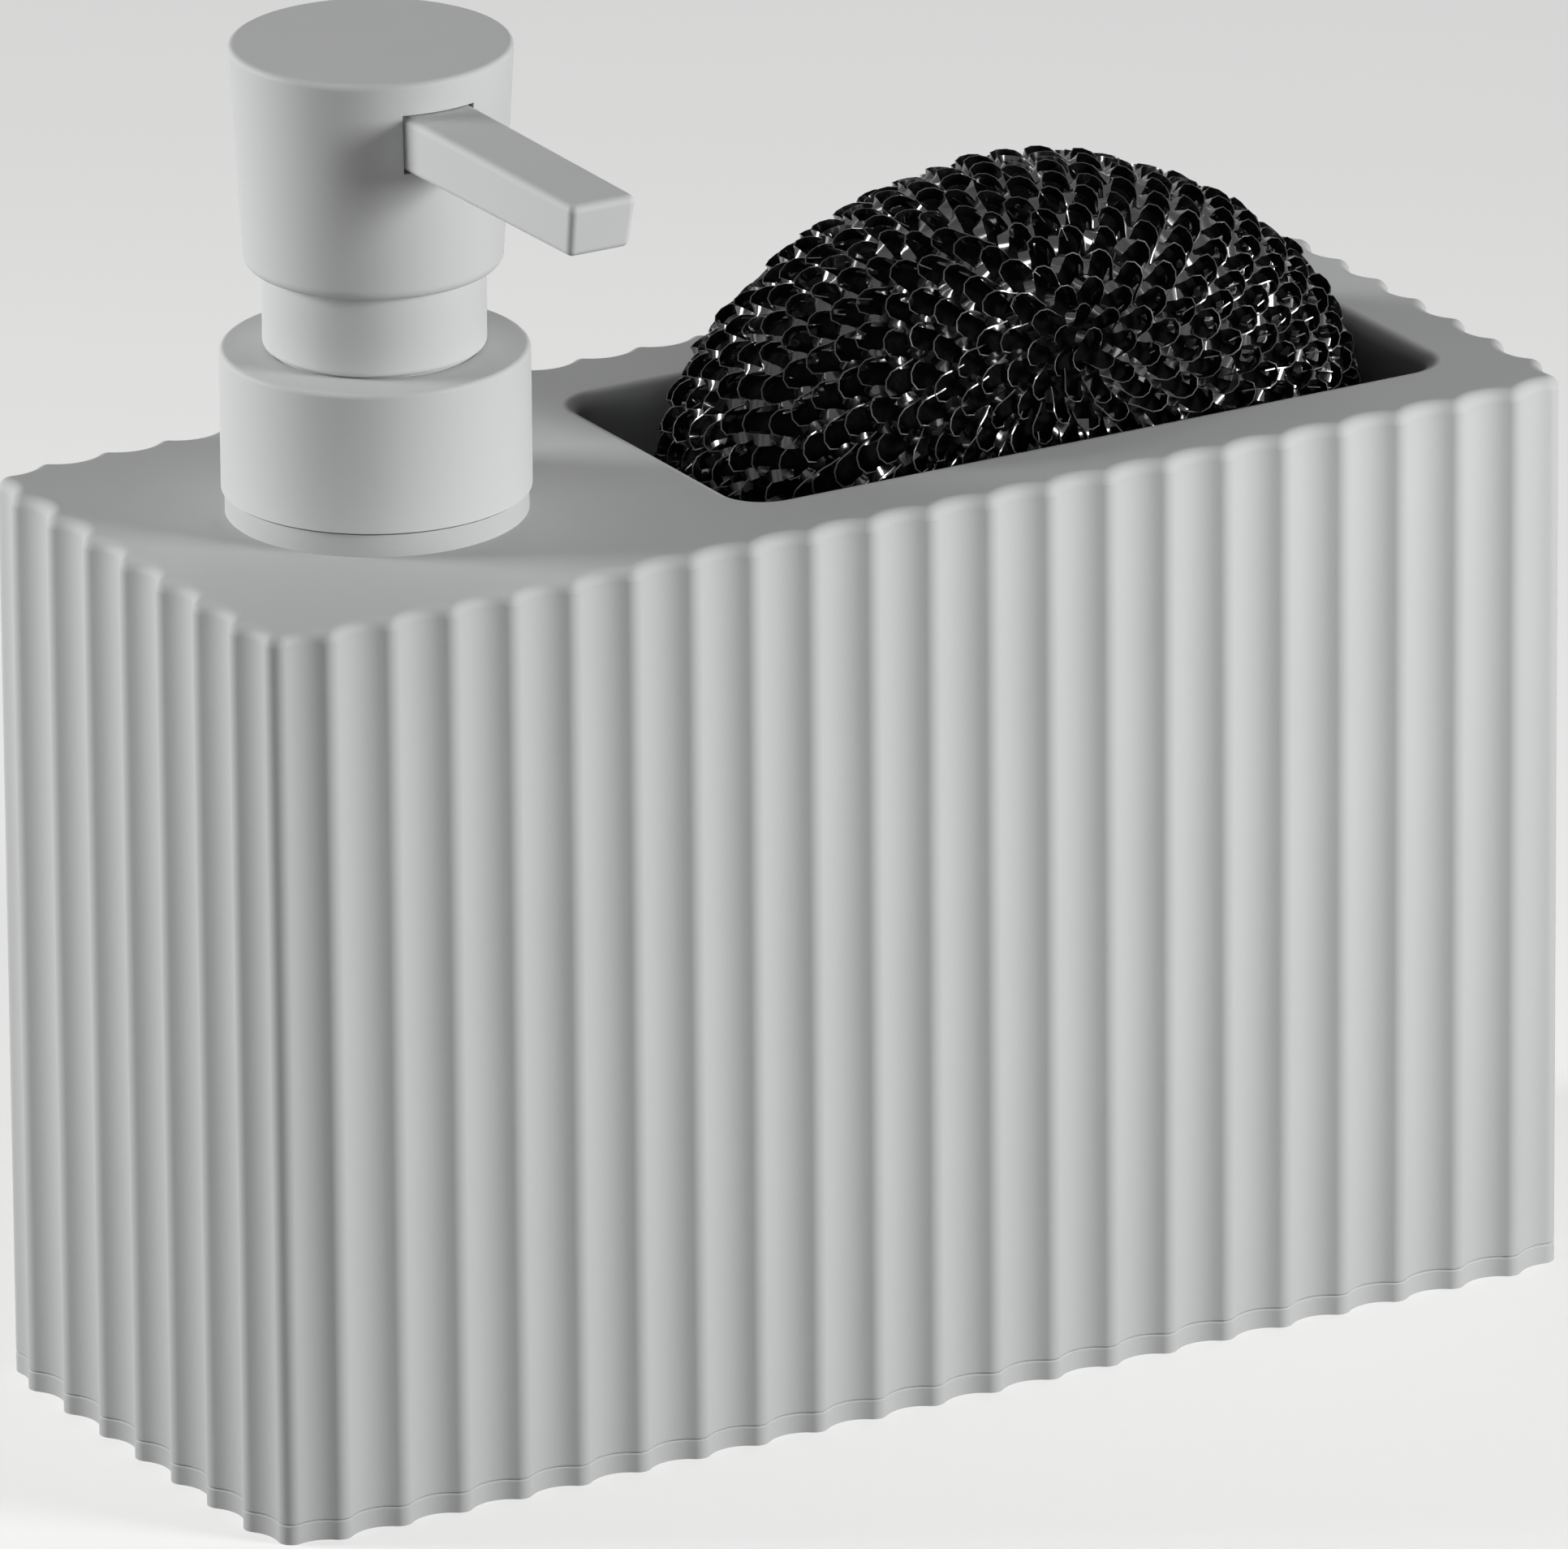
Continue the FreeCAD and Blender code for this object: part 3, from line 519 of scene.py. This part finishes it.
@dataclass
class OvalPillow:
    """The scourer's form: an oval on edge, rounded over from the rim to its two crowned faces."""

    centre: Vector
    half_length: float
    half_height: float
    half_depth: float
    end_radius: float
    round_over: float = 26 * MM
    fullness: float = 2.3
    halvings: int = 40

    def __post_init__(self) -> None:
        """Work out the arcs of the oval's outline."""
        self.shift = self.half_length - self.end_radius
        rise = self.half_height - self.end_radius
        self.crown = (self.shift ** 2 + self.half_height ** 2 - self.end_radius ** 2) / (2 * rise)
        self.drop = self.crown - self.half_height
        self.lean = math.atan2(self.shift, self.drop)

    def outline(self, across: float, up: float) -> tuple[float, Vector]:
        """Find where a point lies in the oval.

        Args:
            across: distance from the middle along X.
            up: distance from the middle along Z.

        Returns:
            Distance inward from the outline, and the direction outward there.
        """
        from_crown = Vector((abs(across), 0, abs(up) + self.drop))
        from_end = Vector((abs(across) - self.shift, 0, abs(up)))
        on_crown = math.atan2(from_crown.x, from_crown.z) <= self.lean
        spoke, radius = (from_crown, self.crown) if on_crown else (from_end, self.end_radius)
        outward = spoke.normalized()
        turned = Vector((math.copysign(outward.x, across), 0, math.copysign(outward.z, up)))
        return radius - spoke.length, turned

    def fill(self, spot: Vector) -> tuple[float, Vector]:
        """Tell how far a point is from the middle, as a share that is 1 on the surface.

        Args:
            spot: the point, from the pillow's centre.

        Returns:
            The share, raised to the power of the fullness, and the surface's outward direction there.
        """
        inset, outward = self.outline(spot.x, spot.z)
        rim = max(0.0, 1 - inset / self.round_over)
        face = abs(spot.y) / self.half_depth
        power = self.fullness
        side = Vector((0, math.copysign(1.0, spot.y), 0))
        rim_slope = rim ** (power - 1) / self.round_over
        face_slope = face ** (power - 1) / self.half_depth
        return rim ** power + face ** power, (outward * rim_slope + side * face_slope).normalized()

    def surface(self, way: Vector) -> tuple[Vector, Vector]:
        """Find the surface along a direction from the centre.

        Args:
            way: unit direction.

        Returns:
            The point in place, and the direction outward there.
        """
        near, far = 0.0, 2 * self.half_length
        for _ in range(self.halvings):
            middle = (near + far) / 2
            if self.fill(way * middle)[0] < 1:
                near = middle
            else:
                far = middle
        return self.centre + way * near, self.fill(way * near)[1]

    def skin(self, name: str, rings: int = 28, spokes: int = 72) -> bpy.types.Mesh:
        """Closed smooth mesh of the pillow.

        Args:
            name: name of the mesh.
            rings: rings from the front to the back.
            spokes: points round each ring.

        Returns:
            The mesh, in place.
        """
        shape = bmesh.new()
        bmesh.ops.create_uvsphere(shape, u_segments=spokes, v_segments=rings, radius=1.0)
        for corner in shape.verts:
            corner.co = self.surface(corner.co.normalized())[0]
        bmesh.ops.recalc_face_normals(shape, faces=shape.faces)
        mesh = bpy.data.meshes.new(name)
        shape.to_mesh(mesh)
        shape.free()
        mesh.shade_smooth()
        return mesh


@dataclass
class KnittedScourer:
    """Knitted pad: rows of tape loops round a gathered pole of a foam pillow, heads outward.

    A row is a ring of loops. The rows go from the pole, high on the front face, over the rim and on
    to the other pole at the back, as the knitted tube that is gathered over the foam does.
    """

    finishes: FinishBox
    end_radius: float = 27 * MM
    row_pitch: float = 2.85 * MM
    loop_width: float = 4.3 * MM
    gathered_share: float = 0.7
    gathered_rows: int = 4
    pole_rise: float = math.radians(41)
    tape_width: float = 1.5 * MM
    tape_thickness: float = 0.15 * MM
    tape_sink: float = 1.9 * MM
    foam_depth: float = 3.4 * MM
    # The pad rests on a flat this far above the oval's lowest point
    flat: float = 1.0 * MM
    lean_jitter: float = math.radians(14)
    spokes: int = 180
    spoke_steps: int = 80
    seed: int = 7
    # Where a row begins, as a share of a loop: odd rows are shifted against even ones, as bricks are
    first_share: float = 0.25
    brick_share: float = 0.5
    # Segments of the loop whose edge takes the painted highlight, the bend of its head, and that edge's side
    painted_highlight_segments: tuple[int, int] = (3, 6)
    painted_highlight_side: int = 2
    # One loop from its left foot over its head to its right foot: across, along and out from the
    # pad in mm, and the tape's turn about its own run in degrees. At -90 the tape stands on edge.
    loop_path: tuple[tuple[float, float, float, float], ...] = (
        (-2.10, -1.70, -1.10, 46.0),
        (-1.95, -0.50, -0.50, 14.0),
        (-1.90, 0.45, 0.00, -6.0),
        (-1.68, 1.20, 0.25, -52.0),
        (-0.98, 1.92, 0.43, -88.0),
        (0.00, 2.20, 0.50, -90.0),
        (0.98, 1.92, 0.43, -90.0),
        (1.68, 1.20, 0.25, -92.0),
        (1.90, 0.45, 0.00, -96.0),
        (1.95, -0.50, -0.50, -100.0),
        (2.10, -1.70, -1.10, -108.0),
    )

    def pillow(self, shrink: float) -> OvalPillow:
        """The pad's form.

        Args:
            shrink: how far inside the CAD solid the surface lies.

        Returns:
            The pillow, centred where the CAD solid is.
        """
        low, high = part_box("scourer")
        half_height = (high.z - low.z + self.flat) / 2
        centre = Vector(((low.x + high.x) / 2, (low.y + high.y) / 2, high.z - half_height))
        return OvalPillow(
            centre,
            (high.x - low.x) / 2 - shrink,
            half_height - shrink,
            (high.y - low.y) / 2 - shrink,
            self.end_radius - shrink,
        )

    def loop(self) -> bpy.types.Mesh:
        """One loop of tape, lying in its own plane with its head along +Y.

        Returns:
            A closed mesh of a few dozen faces.
        """
        path = [Vector(spot[:3]) * MM for spot in self.loop_path]
        last = len(path) - 1
        shape = bmesh.new()
        # This layer marks the faces that take the painted highlight of the tape's edge
        painted_highlight_mask = shape.faces.layers.bool.new("slit_edge")
        rings = []
        for index, spot in enumerate(path):
            way = (path[min(index + 1, last)] - path[max(index - 1, 0)]).normalized()
            upright = way.cross(Vector((-way.y, way.x, 0))).normalized()
            face = Quaternion(way, math.radians(self.loop_path[index][3])) @ upright
            across = face.cross(way).normalized() * self.tape_width / 2
            through = face.normalized() * self.tape_thickness / 2
            corners = (across + through, across - through, -across - through, -across + through)
            rings.append([shape.verts.new(spot + corner) for corner in corners])
        for segment, (near, far) in enumerate(zip(rings, rings[1:])):
            # The head's segments, on one side of the tape, take the painted highlight
            chosen = self.painted_highlight_segments[0] <= segment <= self.painted_highlight_segments[1]
            for side in range(len(near)):
                following = (side + 1) % len(near)
                face = shape.faces.new((near[side], near[following], far[following], far[side]))
                face[painted_highlight_mask] = chosen and side == self.painted_highlight_side
                face.smooth = True
                shape.edges.get((near[side], far[side])).smooth = False
        shape.faces.new(rings[0])
        shape.faces.new(rings[-1])
        bmesh.ops.recalc_face_normals(shape, faces=shape.faces)
        mesh = bpy.data.meshes.new("tape_loop")
        shape.to_mesh(mesh)
        shape.free()
        return mesh

    def spoke(self, pillow: OvalPillow, turn: float) -> list[Vector]:
        """Step over the surface from the pole to the opposite pole.

        Args:
            pillow: the surface.
            turn: direction in which the line leaves the pole.

        Returns:
            Points a row pitch apart along the line, the first half a pitch from the pole.
        """
        pole = Vector((0, -math.cos(self.pole_rise), math.sin(self.pole_rise)))
        across = Vector((1, 0, 0))
        radial = across * math.cos(turn) + across.cross(-pole) * math.sin(turn)
        points: list[Vector] = []
        covered = 0.0
        last = pillow.surface(pole)[0]
        for step in range(1, self.spoke_steps + 1):
            polar = math.pi * step / self.spoke_steps
            spot = pillow.surface(pole * math.cos(polar) + radial * math.sin(polar))[0]
            length = (spot - last).length
            while (len(points) + 0.5) * self.row_pitch <= covered + length:
                share = ((len(points) + 0.5) * self.row_pitch - covered) / length
                points.append(last.lerp(spot, share))
            covered += length
            last = spot
        return points

    def places(self) -> bpy.types.Mesh:
        """Where each loop goes, with its turn and its stretch as attributes.

        Rows keep their pitch all over the pad. Round the far pole, where the spokes differ in length,
        the last rows are parts of rings.

        Returns:
            A mesh of loose points with the attributes turn and stretch.
        """
        pillow = self.pillow(self.tape_sink)
        lines = [self.spoke(pillow, math.tau * index / self.spokes) for index in range(self.spokes)]
        rows = max(len(line) for line in lines)
        spots: list[Vector] = []
        turns: list[Quaternion] = []
        stretches: list[Vector] = []
        for row in range(rows):
            neighbours = zip(lines, lines[1:] + lines[:1])
            pairs = [(near, far) for near, far in neighbours if row < min(len(near), len(far))]
            total = sum((far[row] - near[row]).length for near, far in pairs)
            eased = min(1.0, self.gathered_share + (1 - self.gathered_share) * row / self.gathered_rows)
            count = max(1, round(total / (self.loop_width * eased)))
            gap = total / count
            covered = gap * (self.first_share + self.brick_share * (row % 2))
            for near, far in pairs:
                length = (far[row] - near[row]).length
                covered += length
                if covered < gap:
                    continue
                covered -= gap
                spot = far[row].lerp(near[row], covered / length)
                normal = pillow.surface((spot - pillow.centre).normalized())[1]
                away = near[row] - near[row - 1] if row else near[1] - near[0]
                along = away.cross(normal).normalized()
                spots.append(spot)
                turns.append(Matrix((along, normal.cross(along), normal)).transposed().to_quaternion())
                stretches.append(Vector((gap / self.loop_width, eased, 1.0)))
        mesh = bpy.data.meshes.new("loop_places")
        mesh.from_pydata(spots, [], [])
        turn = mesh.attributes.new("turn", "QUATERNION", "POINT")
        turn.data.foreach_set("value", [part for item in turns for part in item])
        stretch = mesh.attributes.new("stretch", "FLOAT_VECTOR", "POINT")
        stretch.data.foreach_set("vector", [part for item in stretches for part in item])
        log.info("scourer has %d loops in %d rows", len(spots), rows)
        return mesh

    def build(self) -> bpy.types.Object:
        """Knit the loops over the foam.

        Returns:
            The pad as one piece, riding on the scourer's body.
        """
        foam = new_object("foam_form", self.pillow(self.foam_depth).skin("foam_form"))
        loop = new_object("tape_loop_form", self.loop())
        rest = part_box("scourer")[0].z
        maker = NodeTreeMaker("knit_over_foam", {
            "Foam": ("NodeSocketObject", foam),
            "Loop": ("NodeSocketObject", loop),
            "Tape": ("NodeSocketMaterial", self.finishes.get(Finishes.RIBBON)),
            "Painted Edge Highlight": ("NodeSocketMaterial", self.finishes.get(Finishes.PAINTED_EDGE_HIGHLIGHT)),
            "Foam Finish": ("NodeSocketMaterial", self.finishes.get(Finishes.FOAM)),
            "Lean": ("NodeSocketFloat", self.lean_jitter),
            "Seed": ("NodeSocketInt", self.seed),
            "Rest Level": ("NodeSocketFloat", rest),
        })
        given = maker.given
        shape = maker.add("GeometryNodeObjectInfo", {"Object": given["Loop"]})["Geometry"]
        points = maker.add("GeometryNodeMeshToPoints", {"Mesh": given["Geometry"]})["Points"]
        turn = maker.add("GeometryNodeInputNamedAttribute", {"Name": "turn"}, data_type="QUATERNION")
        stretch = maker.add("GeometryNodeInputNamedAttribute", {"Name": "stretch"}, data_type="FLOAT_VECTOR")
        loops = maker.add("GeometryNodeInstanceOnPoints", {
            "Points": points, "Instance": shape, "Rotation": turn[0], "Scale": stretch[0],
        })["Instances"]
        most = maker.add("ShaderNodeCombineXYZ", {axis: given["Lean"] for axis in range(3)})[0]
        least = maker.add("ShaderNodeVectorMath", {0: most, "Scale": -1.0}, operation="SCALE")[0]
        lean = maker.add("FunctionNodeRandomValue", {
            "Min": least, "Max": most, "Seed": given["Seed"],
        }, data_type="FLOAT_VECTOR")[0]
        leaning = maker.add("GeometryNodeRotateInstances", {
            "Instances": loops,
            "Rotation": maker.add("FunctionNodeEulerToRotation", {0: lean})[0],
            "Local Space": True,
        })["Instances"]
        tape = maker.add("GeometryNodeSetMaterial", {
            "Geometry": maker.add("GeometryNodeRealizeInstances", {"Geometry": leaning})["Geometry"],
            "Material": given["Tape"],
        })["Geometry"]
        # The marked faces take the painted highlight of the tape's edge
        painted_highlight_mask = maker.add("GeometryNodeInputNamedAttribute", {"Name": "slit_edge"}, data_type="BOOLEAN")[0]
        tape = maker.add("GeometryNodeSetMaterial", {
            "Geometry": tape, "Selection": painted_highlight_mask, "Material": given["Painted Edge Highlight"],
        })["Geometry"]
        under = maker.add("GeometryNodeSetMaterial", {
            "Geometry": maker.add("GeometryNodeObjectInfo", {"Object": given["Foam"]})["Geometry"],
            "Material": given["Foam Finish"],
        })["Geometry"]
        joined = add_node(maker.tree, "GeometryNodeJoinGeometry")
        maker.tree.links.new(tape, joined.inputs[0])
        maker.tree.links.new(under, joined.inputs[0])
        spot = maker.add("ShaderNodeSeparateXYZ", {0: maker.add("GeometryNodeInputPosition")[0]})
        level = maker.add("ShaderNodeMath", {0: spot["Z"], 1: given["Rest Level"]}, operation="MAXIMUM")[0]
        resting = maker.add("GeometryNodeSetPosition", {
            "Geometry": joined.outputs[0],
            "Position": maker.add("ShaderNodeCombineXYZ", {0: spot["X"], 1: spot["Y"], 2: level})[0],
        })["Geometry"]
        maker.close(resting)
        pad = maker.run("scourer_pad", self.places())
        bpy.data.objects.remove(foam)
        bpy.data.objects.remove(loop)
        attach(pad, "scourer")
        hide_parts("scourer")
        return pad


@dataclass
class Coil:
    """A round wire or ridge that follows a helix about the pump's axis.

    Over the fade, a share of its length, each end thins to the tip's share of the full section.
    """

    name: str
    axis: tuple[float, float]
    radius: float
    bottom: float
    top: float
    turns: float
    closed_turns: float
    section_width: float
    section_height: float
    fade: float
    tip_share: float = 0.15
    points_per_turn: int = 36
    section_points: int = 12

    def build(self, material: bpy.types.Material) -> bpy.types.Object:
        """Make the coil.

        Args:
            material: its finish.

        Returns:
            The coil as one plain mesh.
        """
        count = round(self.turns * self.points_per_turn) + 1
        end_rise = self.section_height * self.closed_turns
        maker = NodeTreeMaker(self.name + "_helix", {
            "Points": ("NodeSocketInt", count),
            "Radius": ("NodeSocketFloat", self.radius),
            "Turns": ("NodeSocketFloat", self.turns),
            "Bottom": ("NodeSocketFloat", self.bottom),
            "End Rise": ("NodeSocketFloat", end_rise),
            "Middle Rise": ("NodeSocketFloat", self.top - self.bottom - 2 * end_rise),
            "Closed Share": ("NodeSocketFloat", self.closed_turns / self.turns),
            "Fade Share": ("NodeSocketFloat", self.fade),
            "Half Width": ("NodeSocketFloat", self.section_width / 2),
            "Half Height": ("NodeSocketFloat", self.section_height / 2),
            "Axis": ("NodeSocketVector", (self.axis[0], self.axis[1], 0.0)),
            "Finish": ("NodeSocketMaterial", material),
        })
        given = maker.given
        line = maker.add("GeometryNodeMeshLine", {"Count": given["Points"]})["Mesh"]
        last = maker.add("ShaderNodeMath", {0: given["Points"], 1: 1.0}, operation="SUBTRACT")[0]
        index = maker.add("GeometryNodeInputIndex")[0]
        share = maker.add("ShaderNodeMath", {0: index, 1: last}, operation="DIVIDE")[0]
        turned = maker.add("ShaderNodeMath", {0: share, 1: given["Turns"]}, operation="MULTIPLY")[0]
        angle = maker.add("ShaderNodeMath", {0: turned, 1: math.tau}, operation="MULTIPLY")[0]
        late = maker.add("ShaderNodeMath", {0: 1.0, 1: given["Closed Share"]}, operation="SUBTRACT")[0]
        rises = []
        for start, end, rise in (
            (0.0, given["Closed Share"], given["End Rise"]),
            (given["Closed Share"], late, given["Middle Rise"]),
            (late, 1.0, given["End Rise"]),
        ):
            rises.append(maker.add("ShaderNodeMapRange", {
                "Value": share, "From Min": start, "From Max": end, "To Min": 0.0, "To Max": rise,
            })["Result"])
        low = maker.add("ShaderNodeMath", {0: rises[0], 1: rises[1]}, operation="ADD")[0]
        rise = maker.add("ShaderNodeMath", {0: low, 1: rises[2]}, operation="ADD")[0]
        level = maker.add("ShaderNodeMath", {0: rise, 1: given["Bottom"]}, operation="ADD")[0]
        around = maker.add("ShaderNodeCombineXYZ", {
            0: maker.add("ShaderNodeMath", {0: angle}, operation="COSINE")[0],
            1: maker.add("ShaderNodeMath", {0: angle}, operation="SINE")[0],
        })[0]
        wide = maker.add("ShaderNodeVectorMath", {0: around, "Scale": given["Radius"]}, operation="SCALE")[0]
        placed = maker.add("ShaderNodeVectorMath", {0: wide, 1: given["Axis"]}, operation="ADD")[0]
        lifted = maker.add("ShaderNodeVectorMath", {
            0: placed, 1: maker.add("ShaderNodeCombineXYZ", {2: level})[0],
        }, operation="ADD")[0]
        helix = maker.add("GeometryNodeSetPosition", {"Geometry": line, "Position": lifted})["Geometry"]
        path = maker.add("GeometryNodeMeshToCurve", {"Mesh": helix})["Curve"]
        upright = maker.add("GeometryNodeSetCurveNormal", {"Curve": path}, mode="Z_UP")["Curve"]
        nearest = maker.add("ShaderNodeMath", {
            0: share, 1: maker.add("ShaderNodeMath", {0: 1.0, 1: share}, operation="SUBTRACT")[0],
        }, operation="MINIMUM")[0]
        thin = maker.add("ShaderNodeMapRange", {
            "Value": nearest, "From Max": given["Fade Share"], "To Min": self.tip_share, "To Max": 1.0,
        })["Result"]
        sized = maker.add("GeometryNodeSetCurveRadius", {"Curve": upright, "Radius": thin})["Curve"]
        ring = maker.add("GeometryNodeCurvePrimitiveCircle", {"Resolution": self.section_points})["Curve"]
        halves = maker.add("ShaderNodeCombineXYZ", {
            0: given["Half Width"], 1: given["Half Height"], 2: 1.0,
        })[0]
        section = maker.add("GeometryNodeTransform", {"Geometry": ring, "Scale": halves})["Geometry"]
        solid = maker.add("GeometryNodeCurveToMesh", {
            "Curve": sized, "Profile Curve": section, "Fill Caps": True,
        })["Mesh"]
        smooth = maker.add("GeometryNodeSetShadeSmooth", {"Geometry": solid})["Geometry"]
        dressed = maker.add("GeometryNodeSetMaterial", {"Geometry": smooth, "Material": given["Finish"]})
        maker.close(dressed["Geometry"])
        return maker.run(self.name, empty_mesh(self.name + "_start"))


@dataclass
class PumpCoils:
    """The pump's return spring, and the thread on the neck that the collar screws on to."""

    finishes: FinishBox
    wire: float = 0.9 * MM
    spring_turns: float = 8.5
    ground_turns: float = 0.8
    spring_fade: float = 0.001
    stroke: float = 9 * MM
    thread_turns: float = 1.75
    thread_pitch: float = 4.2 * MM
    thread_root: float = 12.2 * MM
    thread_height: float = 0.85 * MM
    thread_width: float = 2.2 * MM
    thread_drop: float = 8.6 * MM
    thread_fade: float = 0.12

    def axis(self) -> tuple[float, float]:
        """The pump's axis, from the barrel's box."""
        low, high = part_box("pump_barrel")
        return (low.x + high.x) / 2, (low.y + high.y) / 2

    def build_spring(self) -> bpy.types.Object:
        """Wind the spring with closed ends between the ends of the CAD spring.

        Returns:
            The spring, riding on the pump.
        """
        low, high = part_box("return_spring")
        axis = self.axis()
        spring = Coil(
            "return_spring_coil", axis, (high.x - low.x - self.wire) / 2,
            low.z + self.wire / 2, high.z - self.wire / 2, self.spring_turns, self.ground_turns,
            self.wire, self.wire, self.spring_fade,
        ).build(self.finishes.get(Finishes.WIRE))
        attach(spring, "pump")
        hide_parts("return_spring")
        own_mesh(spring)
        return spring

    def build_thread(self) -> bpy.types.Object:
        """Wind the neck's thread.

        Returns:
            The thread, riding on the caddy.
        """
        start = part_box("body_shell")[1].z - self.thread_drop
        thread = Coil(
            "neck_thread", self.axis(), self.thread_root, start,
            start + self.thread_turns * self.thread_pitch, self.thread_turns, 0.0,
            2 * self.thread_height, self.thread_width, self.thread_fade,
        ).build(self.finishes.get(Finishes.CASE))
        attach(thread, "caddy")
        return thread


@dataclass(frozen=True)
class Softbox:
    """A rectangular lamp that looks at the caddy: its turn from the camera, its rise and its power."""

    name: str
    turn: float
    rise: float
    distance: float
    size: tuple[float, float]
    power: float


@dataclass
class Studio:
    """Camera at the photograph's angle, softboxes round the caddy and a pale floor."""

    finishes: FinishBox
    azimuth: float = math.radians(-30.3766)
    elevation: float = math.radians(20.0263)
    roll: float = math.radians(-0.4482)
    distance: float = 2.6
    focal_pixels: float = 27245.7
    sensor: float = 36.0
    target: tuple[float, float, float] = (-0.2 * MM, 0.0, 68.13 * MM)
    floor_size: float = 12.0
    # Two lamps at the sides, a low one by the camera, so that the compartment stays dark, and a weak
    # one behind for the tops
    softboxes: tuple[Softbox, ...] = (
        Softbox("softbox_right", math.radians(65), math.radians(20), 0.75, (0.22, 0.28), 1.75),
        Softbox("softbox_left", math.radians(-91), math.radians(20), 0.75, (0.22, 0.28), 1.58),
        Softbox("softbox_fill", 0.0, math.radians(4), 1.2, (0.4, 0.3), 0.42),
        Softbox("softbox_back", math.pi, math.radians(58), 0.6, (0.08, 0.08), 0.045),
    )
    spread: float = math.radians(110)
    ambient: str = "#3c3c3c"
    backdrop: str = "#d4d4d2"

    def towards(self, turn: float, rise: float) -> Vector:
        """Direction from the object at an angle from the camera, counted anticlockwise from above."""
        angle = self.azimuth + turn
        return Vector((math.sin(angle) * math.cos(rise), -math.cos(angle) * math.cos(rise), math.sin(rise)))

    def place_camera(self) -> None:
        """Set the camera where the photograph was taken from."""
        back = self.towards(0.0, self.elevation)
        right = (-back).cross(Vector((0, 0, 1))).normalized()
        up = right.cross(-back)
        turned_right = right * math.cos(self.roll) + up * math.sin(self.roll)
        turned_up = up * math.cos(self.roll) - right * math.sin(self.roll)
        lens = bpy.data.cameras.new("camera")
        lens.sensor_fit = "HORIZONTAL"
        lens.sensor_width = self.sensor
        lens.lens = self.focal_pixels * self.sensor / PHOTO_WIDTH
        camera = bpy.data.objects.new("camera", lens)
        turn = Matrix((turned_right, turned_up, back)).transposed()
        camera.matrix_world = Matrix.Translation(Vector(self.target) + back * self.distance) @ turn.to_4x4()
        bpy.context.scene.collection.objects.link(camera)
        bpy.context.scene.camera = camera

    def hang(self, softbox: Softbox) -> None:
        """Hang a lamp that looks at the caddy.

        Args:
            softbox: which one.
        """
        lamp = bpy.data.lights.new(softbox.name, "AREA")
        lamp.shape = "RECTANGLE"
        lamp.size, lamp.size_y = softbox.size
        lamp.energy = softbox.power
        lamp.spread = self.spread
        item = bpy.data.objects.new(softbox.name, lamp)
        middle = Vector(self.target)
        spot = middle + self.towards(softbox.turn, softbox.rise) * softbox.distance
        aim = (spot - middle).to_track_quat("Z", "Y")
        item.matrix_world = Matrix.Translation(spot) @ aim.to_matrix().to_4x4()
        bpy.context.scene.collection.objects.link(item)

    def light(self) -> None:
        """Hang the lamps and set the even light of the room."""
        for softbox in self.softboxes:
            self.hang(softbox)
        world = bpy.data.worlds.new("even_room_light")
        world.use_nodes = True
        tree = world.node_tree
        tone = mix_colours(tree, seen_rays(tree), linear(self.ambient), linear(self.backdrop))
        tree.links.new(tone, tree.nodes["Background"].inputs["Color"])
        bpy.context.scene.world = world

    def lay_floor(self) -> None:
        """Lay the floor that the caddy stands on."""
        shape = bmesh.new()
        bmesh.ops.create_grid(shape, x_segments=1, y_segments=1, size=self.floor_size / 2)
        mesh = bpy.data.meshes.new("floor")
        shape.to_mesh(mesh)
        shape.free()
        mesh.materials.append(self.finishes.get(Finishes.FLOOR))
        new_object("floor", mesh)

    def set_up(self) -> None:
        """Build the whole studio."""
        self.place_camera()
        self.light()
        self.lay_floor()
        bpy.context.scene.view_settings.view_transform = "Standard"


def main() -> None:
    """Load the frame, dress it, build the pieces that are made here and set up the studio."""
    logging.basicConfig(level=logging.INFO, format="%(message)s")
    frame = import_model()
    finishes = FinishBox()
    Dressing(finishes).dress(frame["nodes"])
    coils = PumpCoils(finishes)
    for piece in (coils.build_spring(), coils.build_thread(), KnittedScourer(finishes).build()):
        log.info("built %s: %d faces", piece.name, len(piece.data.polygons))
    Studio(finishes).set_up()


if __name__ == "__main__":
    main()
